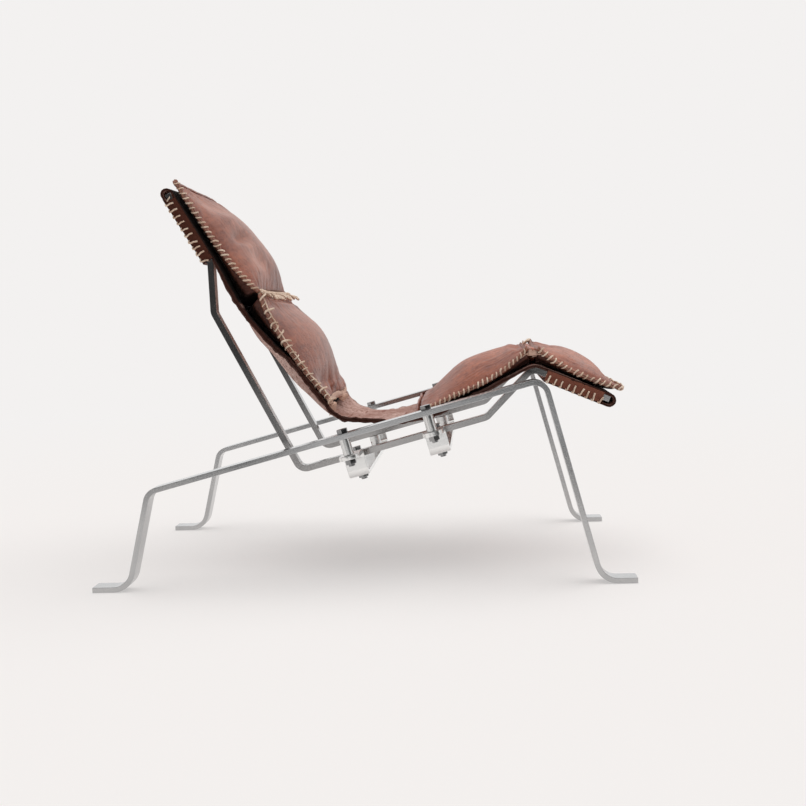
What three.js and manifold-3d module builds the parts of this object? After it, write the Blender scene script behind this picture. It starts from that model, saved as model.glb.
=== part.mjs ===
// Leather sling lounge chair. One thick hide folds over both ends of a bent flat-steel seat frame and
// hangs free between them, with four stuffed, laced pads lying on it. The seat frame is bolted through
// two hat-shaped cross members to a pair of sloping base rails that end in legs and feet.
// Millimetres. +X is forward, +Y is to the sitter's left and +Z is up. The origin is on the floor,
// under the middle of the base.

import * as THREE from 'three';
import { mergeVertices } from 'three/addons/utils/BufferGeometryUtils.js';
import Module from 'manifold-3d';

const wasm = await Module();
wasm.setup();

const radians = THREE.MathUtils.degToRad;

// Base rails: flat bar, bent across its thin way
const BASE_WIDTH = 670;
const RAIL_BAR_WIDTH = 40;
const RAIL_BAR_THICK = 10;
const RAIL_LENGTH = 765;
const RAIL_PITCH = radians(14.4);
const REAR_BEND_HEIGHT = 188;
const REAR_LEG_LEAN = radians(13.6);
const FRONT_LEG_LEAN = radians(14.6);
const REAR_FOOT_LENGTH = 70;
const FRONT_FOOT_LENGTH = 65;
const RAIL_BEND_RADIUS = 26;
const FOOT_BEND_RADIUS = 38;

// Seat frame: a heavier flat bar on each side, from the top of the back to the front of the leg rest
const SEAT_FRAME_WIDTH = 410;
const SEAT_BAR_WIDTH = 25;
const SEAT_BAR_THICK = 12;
const SEAT_BEND_RADIUS = 20;
const LOW_RUN_BEHIND_CLAMP = 115;
const LOW_RUN_AHEAD_OF_CLAMP = 102;
const BACK_RUN = 350;
const BACK_LEAN = radians(26.9);
const JOG_RUN = 98;
const JOG_LEAN = radians(1.2);
const HEAD_RUN = 155;
const HEAD_LEAN = radians(30);
const KNEE_RUN = 128;
const KNEE_RISE = radians(45.5);
const LEG_RUN = 159;
const LEG_DROP = radians(23.3);

// Clamps: a rear and a front cross member, hung under the rails on spacers
const REAR_CLAMP_FROM_BEND = 381;
const CLAMP_SPACING = 161;
const RAIL_SPACER_LENGTH = 32;
const SEAT_SPACER_LENGTH = 24;
const CROSS_BAR_WIDTH = 40;
const CROSS_BAR_THICK = 8;
const CROSS_DEPTH = 43;
const CROSS_BEND_RADIUS = 11;
const CROSS_WALL_SPACING = 508;
const LEDGE_SETBACK = 2;
const LEDGE_END_RADIUS = 21;
const SPACER_DIAMETER = 20;
const BOLT_DIAMETER = 12;
const BOLT_TAIL = 4;
const HEX_ACROSS_FLATS = 19;
const HEAD_HEIGHT = 8;
const NUT_HEIGHT = 9;

// Sling: the hide, its two hoods and the free hang between them
const HIDE_THICK = 5;
const HOOD_SLACK = 4;
const TOP_HOOD_FRONT = 150;
const TOP_HOOD_BACK = 152;
const FRONT_HOOD_LENGTH = 130;
const HOOD_CHEEK_SETBACK = 14;
const HOOD_CHEEK_THICK = 4.5;
const SLING_SAG = 208;
const SLING_BELLY = 44;
const KNEE_ARRIVAL = radians(28);

// The hang's shape: how far along the straight line between the hoods, and what share of the sag
const SLING_SHAPE = [
  [0.119, 0.278], [0.269, 0.522], [0.397, 0.786], [0.502, 1.0],
  [0.615, 0.943], [0.750, 0.765], [0.873, 0.413],
];

// Pads: a laced rim round a stuffed middle. The two back pads follow each other down the sling from its
// top end, and the seat pad and the leg pad meet over the knee.
const PAD_WIDTH = 408;
const PAD_RIM_THICK = 8;
const PAD_RIM_WIDTH = 9;
const PAD_DRAWN_IN = 7;
const PAD_PRESS = 4;
const PAD_SEAM_GAP = 8;
const TOP_OVERHANG = 10;
const UPPER_PAD_LENGTH = 265;
const LOWER_PAD_LENGTH = 256;
const SEAT_PAD_LENGTH = 228;
const LEG_PAD_LENGTH = 171;

// How high each pad is stuffed, and how far its laced sides sag towards the sling between its ends
const UPPER_PAD_CROWN = 45;
const LOWER_PAD_CROWN = 48;
const SEAT_PAD_CROWN = 47;
const LEG_PAD_CROWN = 31;
const UPPER_PAD_SAG = 6;
const LOWER_PAD_SAG = 12;
const SEAT_PAD_SAG = 16;
const LEG_PAD_SAG = 9.5;

// How far the pads' laced ends stand off the sling, from the top of the back to the front of the leg rest
const TOP_EDGE_LIFT = 14;
const BACK_SEAM_LIFT = 24;
const LOWER_EDGE_LIFT = 7;
const SEAT_EDGE_LIFT = 21;
const KNEE_SEAM_LIFT = 28;
const FRONT_EDGE_LIFT = 17;

// Gaps left between pieces that touch
const FIT = 0.3;
const PAD_FIT = 0.5;

// How finely round and soft shapes are divided
const BEND_STEPS = 8;
const ROUND_SIDES = 14;
const FOLD_STEPS = 5;
const HANG_STEPS = 24;
const SLING_COLUMNS = 10;
const PAD_ROWS = 14;
const PAD_COLUMNS = 16;

const brushedSteel = new THREE.MeshStandardMaterial({ color: 0xb4b3ae, roughness: 0.38, metalness: 1 });
const darkSteel = new THREE.MeshStandardMaterial({ color: 0x8f8d88, roughness: 0.42, metalness: 1 });
const zincPlate = new THREE.MeshStandardMaterial({ color: 0xc4c6c4, roughness: 0.25, metalness: 1 });
const saddleHide = new THREE.MeshStandardMaterial({ color: 0x8a5b4c, roughness: 0.62, metalness: 0 });
const padLeather = new THREE.MeshStandardMaterial({ color: 0x8d5344, roughness: 0.5, metalness: 0 });

const chair = new THREE.Group();

function addPiece(name, geometry, material, parent = chair) {
  const mesh = new THREE.Mesh(geometry, material);
  mesh.name = name;
  parent.add(mesh);
  return mesh;
}

// Solids

function toSolid(geometry) {
  const bare = geometry.clone();
  bare.deleteAttribute('normal');
  bare.deleteAttribute('uv');
  const merged = mergeVertices(bare, 1e-4);
  return new wasm.Manifold(new wasm.Mesh({
    numProp: 3,
    vertProperties: new Float32Array(merged.attributes.position.array),
    triVerts: new Uint32Array(merged.index.array),
  }));
}

function toGeometry(solid) {
  const mesh = solid.getMesh();
  const geometry = new THREE.BufferGeometry();
  geometry.setAttribute('position', new THREE.BufferAttribute(new Float32Array(mesh.vertProperties), 3));
  geometry.setIndex(new THREE.BufferAttribute(new Uint32Array(mesh.triVerts), 1));
  geometry.computeVertexNormals();
  return geometry;
}

function cut(geometry, cutters) {
  let solid = toSolid(geometry);
  for (const cutter of cutters) {
    solid = solid.subtract(toSolid(cutter));
  }
  return toGeometry(solid);
}

function join(geometries) {
  let solid = toSolid(geometries[0]);
  for (const other of geometries.slice(1)) {
    solid = solid.add(toSolid(other));
  }
  return toGeometry(solid);
}

// A closed slab between two grids of points. Rows run forward, columns run to +Y and upper is on top.
function slab(rows, columns, upper, lower) {
  const positions = [];
  const triangles = [];
  for (const side of [upper, lower]) {
    for (let i = 0; i <= rows; i += 1) {
      for (let j = 0; j <= columns; j += 1) {
        positions.push(...side(i, j));
      }
    }
  }
  const above = (i, j) => i * (columns + 1) + j;
  const below = (i, j) => (rows + 1) * (columns + 1) + above(i, j);
  const quad = (a, b, c, d) => triangles.push(a, b, c, a, c, d);
  for (let i = 0; i < rows; i += 1) {
    for (let j = 0; j < columns; j += 1) {
      quad(above(i, j), above(i + 1, j), above(i + 1, j + 1), above(i, j + 1));
      quad(below(i, j), below(i, j + 1), below(i + 1, j + 1), below(i + 1, j));
    }
    quad(below(i, 0), below(i + 1, 0), above(i + 1, 0), above(i, 0));
    quad(above(i, columns), above(i + 1, columns), below(i + 1, columns), below(i, columns));
  }
  for (let j = 0; j < columns; j += 1) {
    quad(above(0, j), above(0, j + 1), below(0, j + 1), below(0, j));
    quad(below(rows, j), below(rows, j + 1), above(rows, j + 1), above(rows, j));
  }
  const geometry = new THREE.BufferGeometry();
  geometry.setAttribute('position', new THREE.Float32BufferAttribute(positions, 3));
  geometry.setIndex(triangles);
  geometry.computeVertexNormals();
  return geometry;
}

// Side-view geometry: points are (x, z) and a heading is an angle above the +X direction

const point = (x, z) => new THREE.Vector2(x, z);
const heading = (angle) => point(Math.cos(angle), Math.sin(angle));
const leftOf = (direction) => point(-direction.y, direction.x);
const shifted = (start, direction, distance) => start.clone().addScaledVector(direction, distance);
const directionBetween = (a, b) => b.clone().sub(a).normalize();

// Points with left-hand normals on an arc that starts with one heading and ends with another
function arcPath(centre, radius, startAngle, endAngle, steps) {
  const side = Math.sign(endAngle - startAngle);
  const samples = [];
  for (let i = 0; i <= steps; i += 1) {
    const normal = leftOf(heading(startAngle + (endAngle - startAngle) * i / steps));
    samples.push({ at: shifted(centre, normal, -side * radius), normal });
  }
  return samples;
}

// A path of straight runs with a round bend at each inner corner
function bentPath(corners, radii) {
  const samples = [];
  const last = corners.length - 1;
  samples.push({ at: corners[0], normal: leftOf(directionBetween(corners[0], corners[1])) });
  for (let i = 1; i < last; i += 1) {
    const into = directionBetween(corners[i - 1], corners[i]);
    const out = directionBetween(corners[i], corners[i + 1]);
    const turn = Math.atan2(into.cross(out), into.dot(out));
    const tangent = radii[i - 1] * Math.tan(Math.abs(turn) / 2);
    const start = shifted(corners[i], into, -tangent);
    const centre = shifted(start, leftOf(into), Math.sign(turn) * radii[i - 1]);
    const angle = into.angle();
    samples.push(...arcPath(centre, radii[i - 1], angle, angle + turn, BEND_STEPS));
  }
  samples.push({ at: corners[last], normal: leftOf(directionBetween(corners[last - 1], corners[last])) });
  return samples;
}

function barOutline(path, thickness) {
  const upper = path.map(({ at, normal }) => shifted(at, normal, thickness / 2));
  const lower = path.map(({ at, normal }) => shifted(at, normal, -thickness / 2));
  return new THREE.Shape([...upper, ...lower.reverse()]);
}

// An outline in the side view, given a width across the chair and centred on the middle plane
function sideways(outline, width) {
  const geometry = new THREE.ExtrudeGeometry(outline, { depth: width, bevelEnabled: false });
  return geometry.translate(0, 0, -width / 2).rotateX(Math.PI / 2);
}

// An outline seen from the front, given a length along the rail and centred on the bolt line
function lengthways(outline, length) {
  const geometry = new THREE.ExtrudeGeometry(outline, { depth: length, bevelEnabled: false });
  const turn = new THREE.Matrix4().makeBasis(
    new THREE.Vector3(0, 1, 0),
    new THREE.Vector3(0, 0, 1),
    new THREE.Vector3(1, 0, 0),
  );
  return geometry.translate(0, 0, -length / 2).applyMatrix4(turn);
}

// Layout of the base rails

const railHeading = heading(RAIL_PITCH);
const railNormal = leftOf(railHeading);
const footHeight = RAIL_BAR_THICK / 2;
const frontBendHeight = REAR_BEND_HEIGHT + RAIL_LENGTH * railHeading.y;
const rearLegReach = (REAR_BEND_HEIGHT - footHeight) * Math.tan(REAR_LEG_LEAN);
const frontLegReach = (frontBendHeight - footHeight) * Math.tan(FRONT_LEG_LEAN);
const railReach = RAIL_LENGTH * railHeading.x;
const baseLength = REAR_FOOT_LENGTH + rearLegReach + railReach + frontLegReach + FRONT_FOOT_LENGTH;

const rearTip = point(-baseLength / 2, footHeight);
const rearAnkle = shifted(rearTip, heading(0), REAR_FOOT_LENGTH);
const rearBend = point(rearAnkle.x + rearLegReach, REAR_BEND_HEIGHT);
const frontBend = shifted(rearBend, railHeading, RAIL_LENGTH);
const frontAnkle = point(frontBend.x + frontLegReach, footHeight);
const frontTip = shifted(frontAnkle, heading(0), FRONT_FOOT_LENGTH);
const railCentreY = (BASE_WIDTH - RAIL_BAR_WIDTH) / 2;

// Clamp heights are measured square to the rail, from the middle of its thickness
const clampAt = (index) => shifted(rearBend, railHeading, REAR_CLAMP_FROM_BEND + index * CLAMP_SPACING);
const ledgeTop = -(RAIL_BAR_THICK / 2 + RAIL_SPACER_LENGTH);
const floorTop = ledgeTop - CROSS_DEPTH;
const seatUnderside = floorTop + SEAT_SPACER_LENGTH;
const seatCentre = seatUnderside + SEAT_BAR_THICK / 2;
const seatCentreY = (SEAT_FRAME_WIDTH - SEAT_BAR_WIDTH) / 2;

// Layout of the seat frame, from the top of the back to the front of the leg rest

const lowRunStart = shifted(
  shifted(clampAt(0), railNormal, seatCentre), railHeading, -LOW_RUN_BEHIND_CLAMP);
const lowRunEnd = shifted(
  lowRunStart, railHeading, LOW_RUN_BEHIND_CLAMP + CLAMP_SPACING + LOW_RUN_AHEAD_OF_CLAMP);
const upAndBack = (lean) => heading(Math.PI / 2 + lean);
const jogLow = shifted(lowRunStart, upAndBack(BACK_LEAN), BACK_RUN);
const jogHigh = shifted(jogLow, upAndBack(JOG_LEAN), JOG_RUN);
const headEnd = shifted(jogHigh, upAndBack(HEAD_LEAN), HEAD_RUN);
const knee = shifted(lowRunEnd, heading(KNEE_RISE), KNEE_RUN);
const legEnd = shifted(knee, heading(-LEG_DROP), LEG_RUN);
const seatCorners = [headEnd, jogHigh, jogLow, lowRunStart, lowRunEnd, knee, legEnd];

// Steel bars

const sides = [
  { side: 'right', sign: -1 },
  { side: 'left', sign: 1 },
];
const clamps = [
  { clamp: 'rear', index: 0 },
  { clamp: 'front', index: 1 },
];

// Bolt holes square to the rail, at both clamps
function boltHoles(depthFromRail, thickness) {
  const holeRadius = BOLT_DIAMETER / 2 + FIT;
  return clamps.map(({ index }) => {
    const centre = shifted(clampAt(index), railNormal, depthFromRail);
    return new THREE.CylinderGeometry(holeRadius, holeRadius, thickness * 2, ROUND_SIDES)
      .rotateX(Math.PI / 2)
      .rotateY(-RAIL_PITCH)
      .translate(centre.x, 0, centre.y);
  });
}

function baseRail() {
  const corners = [rearTip, rearAnkle, rearBend, frontBend, frontAnkle, frontTip];
  const radii = [FOOT_BEND_RADIUS, RAIL_BEND_RADIUS, RAIL_BEND_RADIUS, FOOT_BEND_RADIUS];
  const bar = sideways(barOutline(bentPath(corners, radii), RAIL_BAR_THICK), RAIL_BAR_WIDTH);
  return cut(bar, boltHoles(0, RAIL_BAR_THICK));
}

function seatBar() {
  const radii = seatCorners.slice(1, -1).map(() => SEAT_BEND_RADIUS);
  const bar = sideways(barOutline(bentPath(seatCorners, radii), SEAT_BAR_THICK), SEAT_BAR_WIDTH);
  return cut(bar, boltHoles(seatCentre, SEAT_BAR_THICK));
}

// A flat bar between the two side bars, level with their ends
function crossbar(end, inward) {
  const path = bentPath([end, shifted(end, inward, SEAT_BAR_WIDTH)], []);
  const length = SEAT_FRAME_WIDTH - 2 * (SEAT_BAR_WIDTH + FIT);
  return sideways(barOutline(path, SEAT_BAR_THICK), length);
}

for (const { side, sign } of sides) {
  addPiece(`base_rail_${side}`, baseRail(), brushedSteel).position.y = sign * railCentreY;
  addPiece(`seat_bar_${side}`, seatBar(), darkSteel).position.y = sign * seatCentreY;
}
addPiece('top_crossbar', crossbar(headEnd, directionBetween(headEnd, jogHigh)), darkSteel);
addPiece('front_crossbar', crossbar(legEnd, directionBetween(legEnd, knee)), darkSteel);

// Clamp pieces, in a frame whose X runs along the rail and whose Z is square to it

// What the square end of a ledge loses to become round, with the end's middle at the origin
function endWaste() {
  const half = LEDGE_END_RADIUS + FIT;
  const waste = new THREE.Shape();
  waste.moveTo(half, -LEDGE_END_RADIUS);
  waste.lineTo(half, FIT);
  waste.lineTo(-half, FIT);
  waste.lineTo(-half, -LEDGE_END_RADIUS);
  waste.absarc(0, -LEDGE_END_RADIUS, LEDGE_END_RADIUS, Math.PI, 0, true);
  const depth = CROSS_BAR_THICK * 2;
  return new THREE.ExtrudeGeometry(waste, { depth, bevelEnabled: false, curveSegments: ROUND_SIDES })
    .translate(0, 0, -depth / 2);
}

// One flat bar bent to a shallow hat: a round-ended ledge under each rail, two walls and a floor
function crossMember() {
  const ledgeY = BASE_WIDTH / 2 - LEDGE_SETBACK;
  const wallY = CROSS_WALL_SPACING / 2;
  const ledgeZ = ledgeTop - CROSS_BAR_THICK / 2;
  const floorZ = floorTop - CROSS_BAR_THICK / 2;
  const corners = [
    point(-ledgeY, ledgeZ), point(-wallY, ledgeZ), point(-wallY, floorZ),
    point(wallY, floorZ), point(wallY, ledgeZ), point(ledgeY, ledgeZ),
  ];
  const radii = corners.slice(1, -1).map(() => CROSS_BEND_RADIUS);
  const bar = lengthways(barOutline(bentPath(corners, radii), CROSS_BAR_THICK), CROSS_BAR_WIDTH);
  const holeRadius = BOLT_DIAMETER / 2 + FIT;
  const holes = [[railCentreY, ledgeZ], [seatCentreY, floorZ]].flatMap(([y, z]) => [-y, y].map((across) =>
    new THREE.CylinderGeometry(holeRadius, holeRadius, CROSS_BAR_THICK * 2, ROUND_SIDES)
      .rotateX(Math.PI / 2)
      .translate(0, across, z)));
  const wastes = [0, Math.PI].map((turn) => endWaste().translate(0, ledgeY, ledgeZ).rotateZ(turn));
  return cut(bar, [...holes, ...wastes]);
}

// A round sleeve standing on z, short of its space by a gap at each end
function spacer(z, space) {
  const inner = BOLT_DIAMETER / 2 + FIT;
  const outer = SPACER_DIAMETER / 2;
  const profile = [[inner, FIT], [outer, FIT], [outer, space - FIT], [inner, space - FIT], [inner, FIT]];
  return new THREE.LatheGeometry(profile.map(([r, h]) => point(r, h)), ROUND_SIDES)
    .rotateX(Math.PI / 2)
    .translate(0, 0, z);
}

function hexPrism(z, height) {
  const cornerRadius = HEX_ACROSS_FLATS / Math.sqrt(3);
  return new THREE.CylinderGeometry(cornerRadius, cornerRadius, height, 6)
    .rotateX(Math.PI / 2)
    .translate(0, 0, z + height / 2);
}

function shank(low, high, radius) {
  return new THREE.CylinderGeometry(radius, radius, high - low, ROUND_SIDES)
    .rotateX(Math.PI / 2)
    .translate(0, 0, (low + high) / 2);
}

// A hexagon bolt whose head seats on one height and whose nut sits under another
function bolt(headSeat, nutSeat) {
  const head = hexPrism(headSeat + FIT, HEAD_HEIGHT);
  const tip = nutSeat - FIT - NUT_HEIGHT - BOLT_TAIL;
  return join([head, shank(tip, headSeat + FIT + HEAD_HEIGHT / 2, BOLT_DIAMETER / 2)]);
}

function nut(nutSeat) {
  const low = nutSeat - FIT - NUT_HEIGHT;
  return cut(hexPrism(low, NUT_HEIGHT), [shank(low - FIT, nutSeat, BOLT_DIAMETER / 2 + FIT)]);
}

for (const { clamp, index } of clamps) {
  const frame = new THREE.Group();
  const at = clampAt(index);
  frame.position.set(at.x, 0, at.y);
  frame.rotation.y = -RAIL_PITCH;
  chair.add(frame);
  addPiece(`cross_member_${clamp}`, crossMember(), brushedSteel, frame);
  for (const { side, sign } of sides) {
    const joints = [
      {
        joint: 'rail', y: sign * railCentreY, spacerBase: ledgeTop, spacerSpace: RAIL_SPACER_LENGTH,
        headSeat: RAIL_BAR_THICK / 2, nutSeat: ledgeTop - CROSS_BAR_THICK,
      },
      {
        joint: 'seat', y: sign * seatCentreY, spacerBase: floorTop, spacerSpace: SEAT_SPACER_LENGTH,
        headSeat: seatUnderside + SEAT_BAR_THICK, nutSeat: floorTop - CROSS_BAR_THICK,
      },
    ];
    for (const { joint, y, spacerBase, spacerSpace, headSeat, nutSeat } of joints) {
      const place = `${clamp}_${side}`;
      const pieces = [
        addPiece(`${joint}_spacer_${place}`, spacer(spacerBase, spacerSpace), brushedSteel, frame),
        addPiece(`${joint}_bolt_${place}`, bolt(headSeat, nutSeat), zincPlate, frame),
        addPiece(`${joint}_nut_${place}`, nut(nutSeat), zincPlate, frame),
      ];
      for (const piece of pieces) {
        piece.position.y = y;
      }
    }
  }
}

// The hide's middle line in the side view: up the back of the top hood, round its fold, down the front,
// along the hang, over the knee, along the front hood, round its fold and back underneath.

const snug = SEAT_BAR_THICK / 2 + FIT + HIDE_THICK / 2;
const slack = SEAT_BAR_THICK / 2 + HOOD_SLACK + HIDE_THICK / 2;
const foldRadius = (snug + slack) / 2;
const foldShift = (snug - slack) / 2;
const headDown = directionBetween(headEnd, jogHigh);
const headFront = leftOf(headDown);
const legDown = directionBetween(knee, legEnd);
const legTop = leftOf(legDown);

function straightPath(start, direction, length, steps) {
  const normal = leftOf(direction);
  return Array.from({ length: steps + 1 }, (_, i) => {
    const at = shifted(start, direction, length * i / steps);
    return { at, normal };
  });
}

// The knee's bend, which the hide follows on its way into the front hood
const kneeTurn = KNEE_RISE + LEG_DROP;
const kneeTangent = SEAT_BEND_RADIUS * Math.tan(kneeTurn / 2);
const kneeBendEnd = shifted(knee, legDown, kneeTangent);
const kneeCentre = shifted(kneeBendEnd, legTop, -SEAT_BEND_RADIUS);
const kneeArc = arcPath(kneeCentre, SEAT_BEND_RADIUS + snug, KNEE_ARRIVAL, -LEG_DROP, FOLD_STEPS);

const topFold = arcPath(
  shifted(headEnd, headFront, foldShift), foldRadius,
  headDown.angle() + Math.PI, headDown.angle(), 2 * FOLD_STEPS);
const frontFold = arcPath(
  shifted(legEnd, legTop, foldShift), foldRadius,
  -LEG_DROP, -LEG_DROP - Math.PI, 2 * FOLD_STEPS);

const hangStart = shifted(shifted(headEnd, headFront, snug), headDown, TOP_HOOD_FRONT);
const hangEnd = kneeArc[0].at;

function hangPath() {
  const span = hangEnd.clone().sub(hangStart);
  const down = leftOf(span.clone().normalize()).negate();
  const between = SLING_SHAPE.map(([along, sag]) =>
    shifted(hangStart.clone().addScaledVector(span, along), down, sag * SLING_SAG));
  const curve = new THREE.SplineCurve([hangStart, ...between, hangEnd]);
  return Array.from({ length: HANG_STEPS + 1 }, (_, i) => {
    const share = i / HANG_STEPS;
    const normal = leftOf(curve.getTangentAt(share));
    return { at: curve.getPointAt(share), normal, share };
  });
}

// How far the middle of the hang bellies away from the sitter, as a share of the full belly
const easeIn = (t) => Math.sin(THREE.MathUtils.clamp(t, 0, 1) * Math.PI / 2) ** 2;
const seatShare = 0.32;
const bellyShare = (share) => {
  const body = seatShare + (1 - seatShare) * easeIn((0.64 - share) / 0.3);
  return body * easeIn(share / 0.22) * easeIn((1 - share) / 0.3);
};

const frontPanel = straightPath(shifted(headEnd, headFront, snug), headDown, TOP_HOOD_FRONT, 2);
const legPanel = straightPath(kneeArc.at(-1).at, legDown, LEG_RUN - kneeTangent, 2);
const backMouth = {
  at: shifted(shifted(headEnd, headFront, -slack), headDown, TOP_HOOD_BACK),
  normal: headFront.clone().negate(),
};
const underMouth = {
  at: shifted(shifted(legEnd, legTop, -slack), legDown, -FRONT_HOOD_LENGTH),
  normal: legTop.clone().negate(),
};

// The part of the hide that faces the sitter, and then the whole of it
const face = [...frontPanel.slice(0, -1), ...hangPath(), ...kneeArc.slice(1), ...legPanel.slice(1)];
const hide = [backMouth, ...topFold.slice(0, -1), ...face, ...frontFold.slice(1), underMouth];

const slingHalfWidth = SEAT_FRAME_WIDTH / 2 + FIT + HOOD_CHEEK_THICK;

// A point on the hide, square off its middle line, at a place across the chair
function hidePoint(sample, y, offset) {
  const across = 1 - (y / slingHalfWidth) ** 2;
  const belly = sample.share === undefined ? 0 : SLING_BELLY * bellyShare(sample.share) * across;
  return shifted(sample.at, sample.normal, offset - belly);
}

// Column positions across the hide
const slingColumn = (j) => slingHalfWidth * (2 * j / SLING_COLUMNS - 1);

function hideSheet() {
  const surface = (offset) => (i, j) => {
    const at = hidePoint(hide[i], slingColumn(j), offset);
    return [at.x, slingColumn(j), at.y];
  };
  return slab(hide.length - 1, SLING_COLUMNS, surface(HIDE_THICK / 2), surface(-HIDE_THICK / 2));
}

// The laced cheek that closes a hood's side, between the middles of its two panels
function hoodCheek(end, inward, front, length, sign) {
  const outline = new THREE.Shape([
    shifted(shifted(end, inward, HOOD_CHEEK_SETBACK), front, snug),
    shifted(shifted(end, inward, length), front, snug),
    shifted(shifted(end, inward, length), front, -slack),
    shifted(shifted(end, inward, HOOD_CHEEK_SETBACK), front, -slack),
  ]);
  const middleY = slingHalfWidth - HOOD_CHEEK_THICK / 2;
  return sideways(outline, HOOD_CHEEK_THICK).translate(0, sign * middleY, 0);
}

const cheeks = sides.flatMap(({ sign }) => [
  hoodCheek(headEnd, headDown, headFront, TOP_HOOD_FRONT, sign),
  hoodCheek(legEnd, legDown.clone().negate(), legTop, FRONT_HOOD_LENGTH, sign),
]);
addPiece('sling', join([hideSheet(), ...cheeks]), saddleHide);

// Pads. Distance along the sling is measured down its face from the top end of the seat frame.

const faceDistance = face.reduce((list, { at }, i) => {
  list.push(i === 0 ? 0 : list[i - 1] + at.distanceTo(face[i - 1].at));
  return list;
}, []);

// A point off the hide's face, for a pad's laced edge
function faceOff(distance, lift) {
  const after = faceDistance.findIndex((d) => d >= distance);
  const i = after < 0 ? face.length - 1 : Math.max(after, 1);
  const [before, next] = [face[i - 1], face[i]];
  const part = (distance - faceDistance[i - 1]) / (faceDistance[i] - faceDistance[i - 1]);
  const at = before.at.clone().lerp(next.at, part);
  const normal = before.normal.clone().lerp(next.normal, THREE.MathUtils.clamp(part, 0, 1));
  return shifted(at, normal.normalize(), HIDE_THICK / 2 + lift);
}

// How far from a point, straight down a direction, the hide's face lies at a place across the chair
function depthToHide(start, direction, y) {
  const column = (y / slingHalfWidth + 1) / 2 * SLING_COLUMNS;
  const left = THREE.MathUtils.clamp(Math.floor(column), 0, SLING_COLUMNS - 1);
  const line = face.map((sample) => {
    const a = hidePoint(sample, slingColumn(left), HIDE_THICK / 2);
    const b = hidePoint(sample, slingColumn(left + 1), HIDE_THICK / 2);
    return a.lerp(b, column - left);
  });
  let nearest = Infinity;
  for (let i = 1; i < line.length; i += 1) {
    const edge = line[i].clone().sub(line[i - 1]);
    const toEdge = line[i - 1].clone().sub(start);
    const cross = direction.cross(edge);
    const depth = toEdge.cross(edge) / cross;
    const along = toEdge.cross(direction) / cross;
    if (along >= 0 && along <= 1 && depth > 0) {
      nearest = Math.min(nearest, depth);
    }
  }
  return nearest;
}

// The crown leans along the pad by its skew, and a small taper keeps it full up to the pad's ends
function padGeometry({ from, fromLift, to, toLift, crown, sag, skew, taper }) {
  const start = faceOff(from, fromLift);
  const end = faceOff(to, toLift);
  const along = directionBetween(start, end);
  const front = leftOf(along);
  const back = front.clone().negate();
  const length = start.distanceTo(end);
  const middle = start.clone().lerp(end, 0.5);
  const backCrown = depthToHide(shifted(middle, back, sag), back, 0) + PAD_PRESS - PAD_RIM_THICK / 2;
  const rimU = 1 - 2 * PAD_RIM_WIDTH / PAD_WIDTH;
  const rimV = 1 - 2 * PAD_RIM_WIDTH / length;

  // Rows and columns bunch towards the laced edge, with the rim as the last strip
  const spread = (k, count, rim) => {
    const t = 2 * k / count - 1;
    const inner = Math.sin(THREE.MathUtils.clamp(t * count / (count - 2), -1, 1) * Math.PI / 2) * rim;
    return Math.abs(t) === 1 ? t : inner;
  };
  const dome = (t, rim, power) => Math.max(0, 1 - Math.abs(t / rim) ** power);
  const place = (i, j) => {
    const v = spread(i, PAD_ROWS, rimV);
    const u = spread(j, PAD_COLUMNS, rimU);
    const leaning = v - skew * dome(v, rimV, 2);
    const rise = dome(u, rimU, 2.4) ** 0.75 * dome(leaning, rimV, 2.1) ** taper;
    const y = u * (PAD_WIDTH / 2 - PAD_DRAWN_IN * (1 - v * v));
    const chord = shifted(middle, along, v * (length / 2 - PAD_DRAWN_IN * (1 - u * u)));
    const flat = shifted(chord, back, sag * (1 - v * v));
    return { y, flat, rise };
  };
  const upper = (i, j) => {
    const { y, flat, rise } = place(i, j);
    const at = shifted(flat, front, PAD_RIM_THICK / 2 + crown * rise);
    return [at.x, y, at.y];
  };
  const lower = (i, j) => {
    const { y, flat, rise } = place(i, j);
    const free = PAD_RIM_THICK / 2 + backCrown * rise;
    const at = shifted(flat, back, Math.min(free, depthToHide(flat, back, y) - PAD_FIT));
    return [at.x, y, at.y];
  };
  return slab(PAD_ROWS, PAD_COLUMNS, upper, lower);
}

const kneeStart = frontPanel.length - 1 + HANG_STEPS;
const kneeDistance = (faceDistance[kneeStart] + faceDistance[kneeStart + FOLD_STEPS]) / 2;
const upperPadEnd = UPPER_PAD_LENGTH - TOP_OVERHANG;
const lowerPadStart = upperPadEnd + PAD_SEAM_GAP;
const seatPadEnd = kneeDistance - PAD_SEAM_GAP / 2;
const legPadStart = kneeDistance + PAD_SEAM_GAP / 2;
const pads = [
  {
    name: 'upper_back_pad', from: -TOP_OVERHANG, fromLift: TOP_EDGE_LIFT, to: upperPadEnd,
    toLift: BACK_SEAM_LIFT, crown: UPPER_PAD_CROWN, sag: UPPER_PAD_SAG, skew: 0.2, taper: 0.85,
  },
  {
    name: 'lower_back_pad', from: lowerPadStart, fromLift: BACK_SEAM_LIFT,
    to: lowerPadStart + LOWER_PAD_LENGTH, toLift: LOWER_EDGE_LIFT,
    crown: LOWER_PAD_CROWN, sag: LOWER_PAD_SAG, skew: -0.16, taper: 1,
  },
  {
    name: 'seat_pad', from: seatPadEnd - SEAT_PAD_LENGTH, fromLift: SEAT_EDGE_LIFT, to: seatPadEnd,
    toLift: KNEE_SEAM_LIFT, crown: SEAT_PAD_CROWN, sag: SEAT_PAD_SAG, skew: 0.03, taper: 0.7,
  },
  {
    name: 'leg_pad', from: legPadStart, fromLift: KNEE_SEAM_LIFT, to: legPadStart + LEG_PAD_LENGTH,
    toLift: FRONT_EDGE_LIFT, crown: LEG_PAD_CROWN, sag: LEG_PAD_SAG, skew: 0, taper: 0.9,
  },
];
for (const pad of pads) {
  addPiece(pad.name, padGeometry(pad), padLeather);
}

export default chair;
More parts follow.
